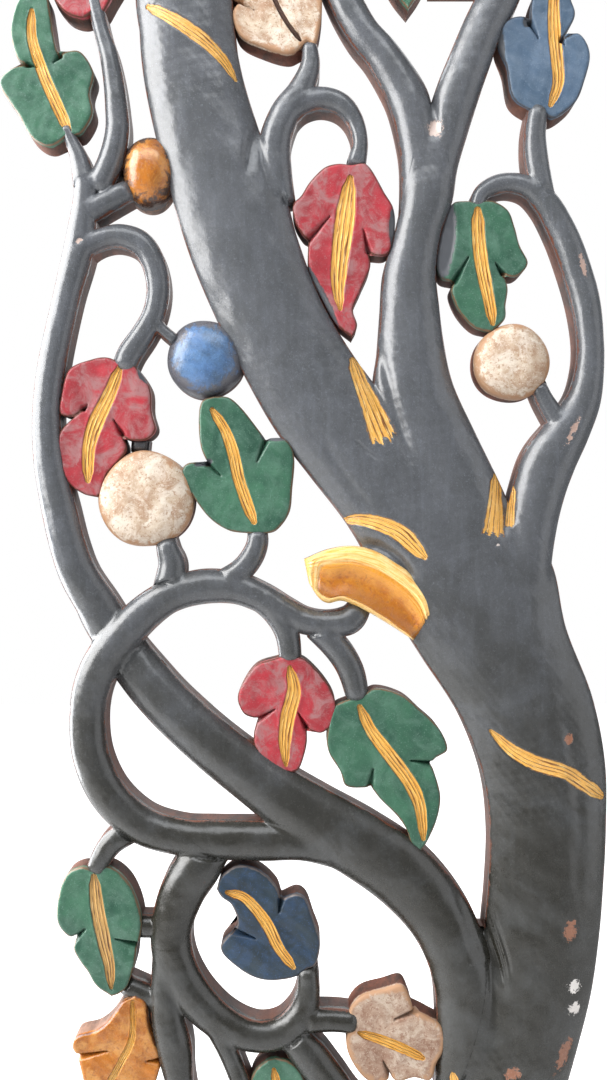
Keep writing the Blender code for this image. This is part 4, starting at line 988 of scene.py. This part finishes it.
# bracket fungus: point(u, v) between its upper and lower edge; height = edge + (rim - edge) * roll - hollow * dish
# - groove, roll = (1 - (1 - nearness to the edge)^2)^0.5, dish = exp(-((v - 0.62) / 0.24)^2)
shelf = dict(upper=[(304, 559), (329, 549), (356, 546), (384, 554), (410, 572), (426, 593), (431, 618)],
             lower=[(309, 583), (318, 597), (328, 603), (343, 601), (366, 611), (390, 625), (413, 640)],
             rim=0.0235, hollow=0.0032, edge=0.0165, groove=0.0006, fineLine=0.00018, swell=0.0002,
             rows=170, across=90, steps=(0.0, 0.5, 0.96))
upper, lower = (spread(smoothRows(place(shelf[key]), 14), shelf["rows"]) for key in ("upper", "lower"))
u = np.linspace(0, 1, shelf["rows"])[:, None]
v = np.linspace(0, 1, shelf["across"])[None, :]
x = upper[:, :1] * (1 - v) + lower[:, :1] * v
z = upper[:, 1:] * (1 - v) + lower[:, 1:] * v
ends = np.clip(np.minimum(u / 0.07, (1 - u) / 0.09), 0, 1)
inner = np.minimum(ends, np.clip(np.minimum(v / 0.16, (1 - v) / 0.12), 0, 1))
roll = np.sqrt(1 - (1 - inner) ** 2)
dish = np.exp(-((v - 0.62) / 0.24) ** 2) * np.clip(ends * 1.2, 0, 1)
nearBands = [u / 0.12, v / 0.30, (1 - v) / (0.12 - 0.06 * u)]
band = sum((gap + 0.02) ** -5.0 for gap in nearBands) ** -0.2  # about the nearest of the three edges
groove = np.exp(-((band - 0.98) / 0.09) ** 2)
top = shelf["edge"] + (shelf["rim"] - shelf["edge"]) * roll - shelf["hollow"] * dish - shelf["groove"] * groove
top = top + shelf["fineLine"] * np.sin(v * 60 + 2 * np.sin(u * 9)) * (v < 0.36) + shelf["swell"] * ripple(x, z, 0.02)
top = np.minimum(top, shelf["rim"])
grain = np.stack(np.broadcast_arrays(u, band, v), -1)
sheet = boardSheet(x, z, top, shelf["steps"], back, 0.004 * inner + 0.0002, (True, True),
                   0 * grain + (9.0, 0.0, 0.0), 0 * x - 1, 0 * x, grain=grain)
tree = paints["fungus"].node_tree
shader = tree.nodes["Principled BSDF"]
parts = put(tree, "SeparateXYZ", Vector=(put(tree, "Attribute", attribute_name="grain"), 1))
along, nearRim, across = ((parts, k) for k in range(3))
streaks = put(tree, "CombineXYZ", X=times(tree, along, 5.0), Y=times(tree, nearRim, 9.0), Z=0.0)
lines = noise(tree, (streaks, 0), 1.6, 4.0, 0.6, 0.4)
onTop = ramp(tree, (put(tree, "Attribute", attribute_name="rim"), 2), -0.0030, -0.0005)
band = minus(tree, 1.0, ramp(tree, plus(tree, nearRim, times(tree, lines, 0.12)), 0.96, 1.10))
pale = blend(tree, ramp(tree, lines, 0.42, 0.62), tone(250, 218, 150), tone(238, 172, 70))
pale = blend(tree, times(tree, ramp(tree, lines, 0.66, 0.72), 0.6), pale, tone(160, 104, 50))
was = (shader.inputs["Base Color"].links[0].from_node, 2)
upperPart = ramp(tree, plus(tree, across, times(tree, lines, 0.3)), 0.72, 0.50)
belly = blend(tree, times(tree, upperPart, 0.75), was, tone(226, 156, 52))
belly = blend(tree, times(tree, ramp(tree, across, 0.48, 0.86), 0.70), belly, tone(150, 88, 22))
belly = blend(tree, onTop, was, belly)
feed(tree, shader.inputs["Base Color"], blend(tree, times(tree, times(tree, band, onTop), 0.9), belly, pale))
makePiece("fungus", [sheet], paints["fungus"])
print("fungus carved")

# pale floor, a room that the camera sees as white, soft lights
stageLook = dict(floorZ=-0.60, halfSize=3.0, floorTone=(0.62, 0.62, 0.62, 1), roomTone=(0.92, 0.95, 1.0, 1),
                 roomLight=0.36)
u = np.linspace(-1, 1, 5) * stageLook["halfSize"]
floorX, floorY = np.meshgrid(u, u, indexing="ij")
floorPoints = np.stack([floorX, floorY, 0 * floorX + stageLook["floorZ"]], -1).reshape(-1, 3)
room = bpy.data.meshes.new("paleFloor")
room.from_pydata(floorPoints.tolist(), [], gridFaces(5, 5, False)[:, ::-1].tolist())
pale = bpy.data.materials.new("paleFloor")
pale.use_nodes = True
paleShader = pale.node_tree.nodes["Principled BSDF"]
paleShader.inputs["Base Color"].default_value = stageLook["floorTone"]
paleShader.inputs["Roughness"].default_value = 0.9
paleShader.inputs["Emission Color"].default_value = (1, 1, 1, 1)
feed(pale.node_tree, paleShader.inputs["Emission Strength"], (put(pale.node_tree, "LightPath"), "Is Camera Ray"))
room.materials.append(pale)
floor = bpy.data.objects.new("paleFloor", room)
bpy.context.scene.collection.objects.link(floor)

world = bpy.data.worlds.new("softRoom")
bpy.context.scene.world = world
world.use_nodes = True
sky = world.node_tree
around = sky.nodes["Background"]
around.inputs[0].default_value = stageLook["roomTone"]
around.inputs[1].default_value = stageLook["roomLight"]
seen = put(sky, "Background", i_0=(1, 1, 1, 1))
both = put(sky, "MixShader", i_0=(put(sky, "LightPath"), "Is Camera Ray"), i_1=(around, 0), i_2=(seen, 0))
feed(sky, sky.nodes["World Output"].inputs[0], (both, 0))


def lamp(name, at, aim, size, power, colour):
    # a rectangular lamp at one place, turned to face another
    light = bpy.data.lights.new(name, "AREA")
    light.shape = "RECTANGLE"
    light.size, light.size_y = size
    light.energy = power
    light.color = colour
    lampObject = bpy.data.objects.new(name, light)
    bpy.context.scene.collection.objects.link(lampObject)
    lampObject.visible_camera = False
    lampObject.location = at
    way = np.array(aim) - np.array(at)
    lampObject.rotation_euler = (math.atan2(math.hypot(way[0], way[1]), -way[2]), 0, math.atan2(-way[0], way[1]))


lamp("window", (-1.0, -0.34, 0.46), (0.0, -0.02, 0.02), (0.9, 1.4), 40, (1.0, 0.995, 0.985))
lamp("edge", (-0.68, 0.24, 0.10), (0.0, 0.0, -0.05), (0.40, 1.5), 18, (0.96, 0.975, 1.0))
lamp("sky", (-0.02, -0.60, 0.78), (0.0, 0.0, 0.05), (1.0, 0.5), 6, (0.94, 0.97, 1.0))
lamp("right", (0.90, -0.42, 0.0), (0.05, 0.0, -0.10), (0.7, 1.3), 3, (0.97, 0.98, 1.0))
lamp("behind", (0.5, 1.2, 0.7), (0.0, 0.0, -0.1), (1.2, 1.2), 6, (1.0, 1.0, 1.0))

camera = bpy.data.cameras.new("camera")
camera.sensor_fit = "VERTICAL"
camera.sensor_height = 24.0
camera.lens = 24.0 * 0.60 / 0.54  # sees 540 mm of the panel from 600 mm
viewer = bpy.data.objects.new("camera", camera)
bpy.context.scene.collection.objects.link(viewer)
viewer.location = (0.00025, -0.6155, -0.1025)
viewer.rotation_euler = (math.pi / 2, 0, 0)
bpy.context.scene.camera = viewer
bpy.context.scene.view_settings.view_transform = "Standard"
print("stage set")
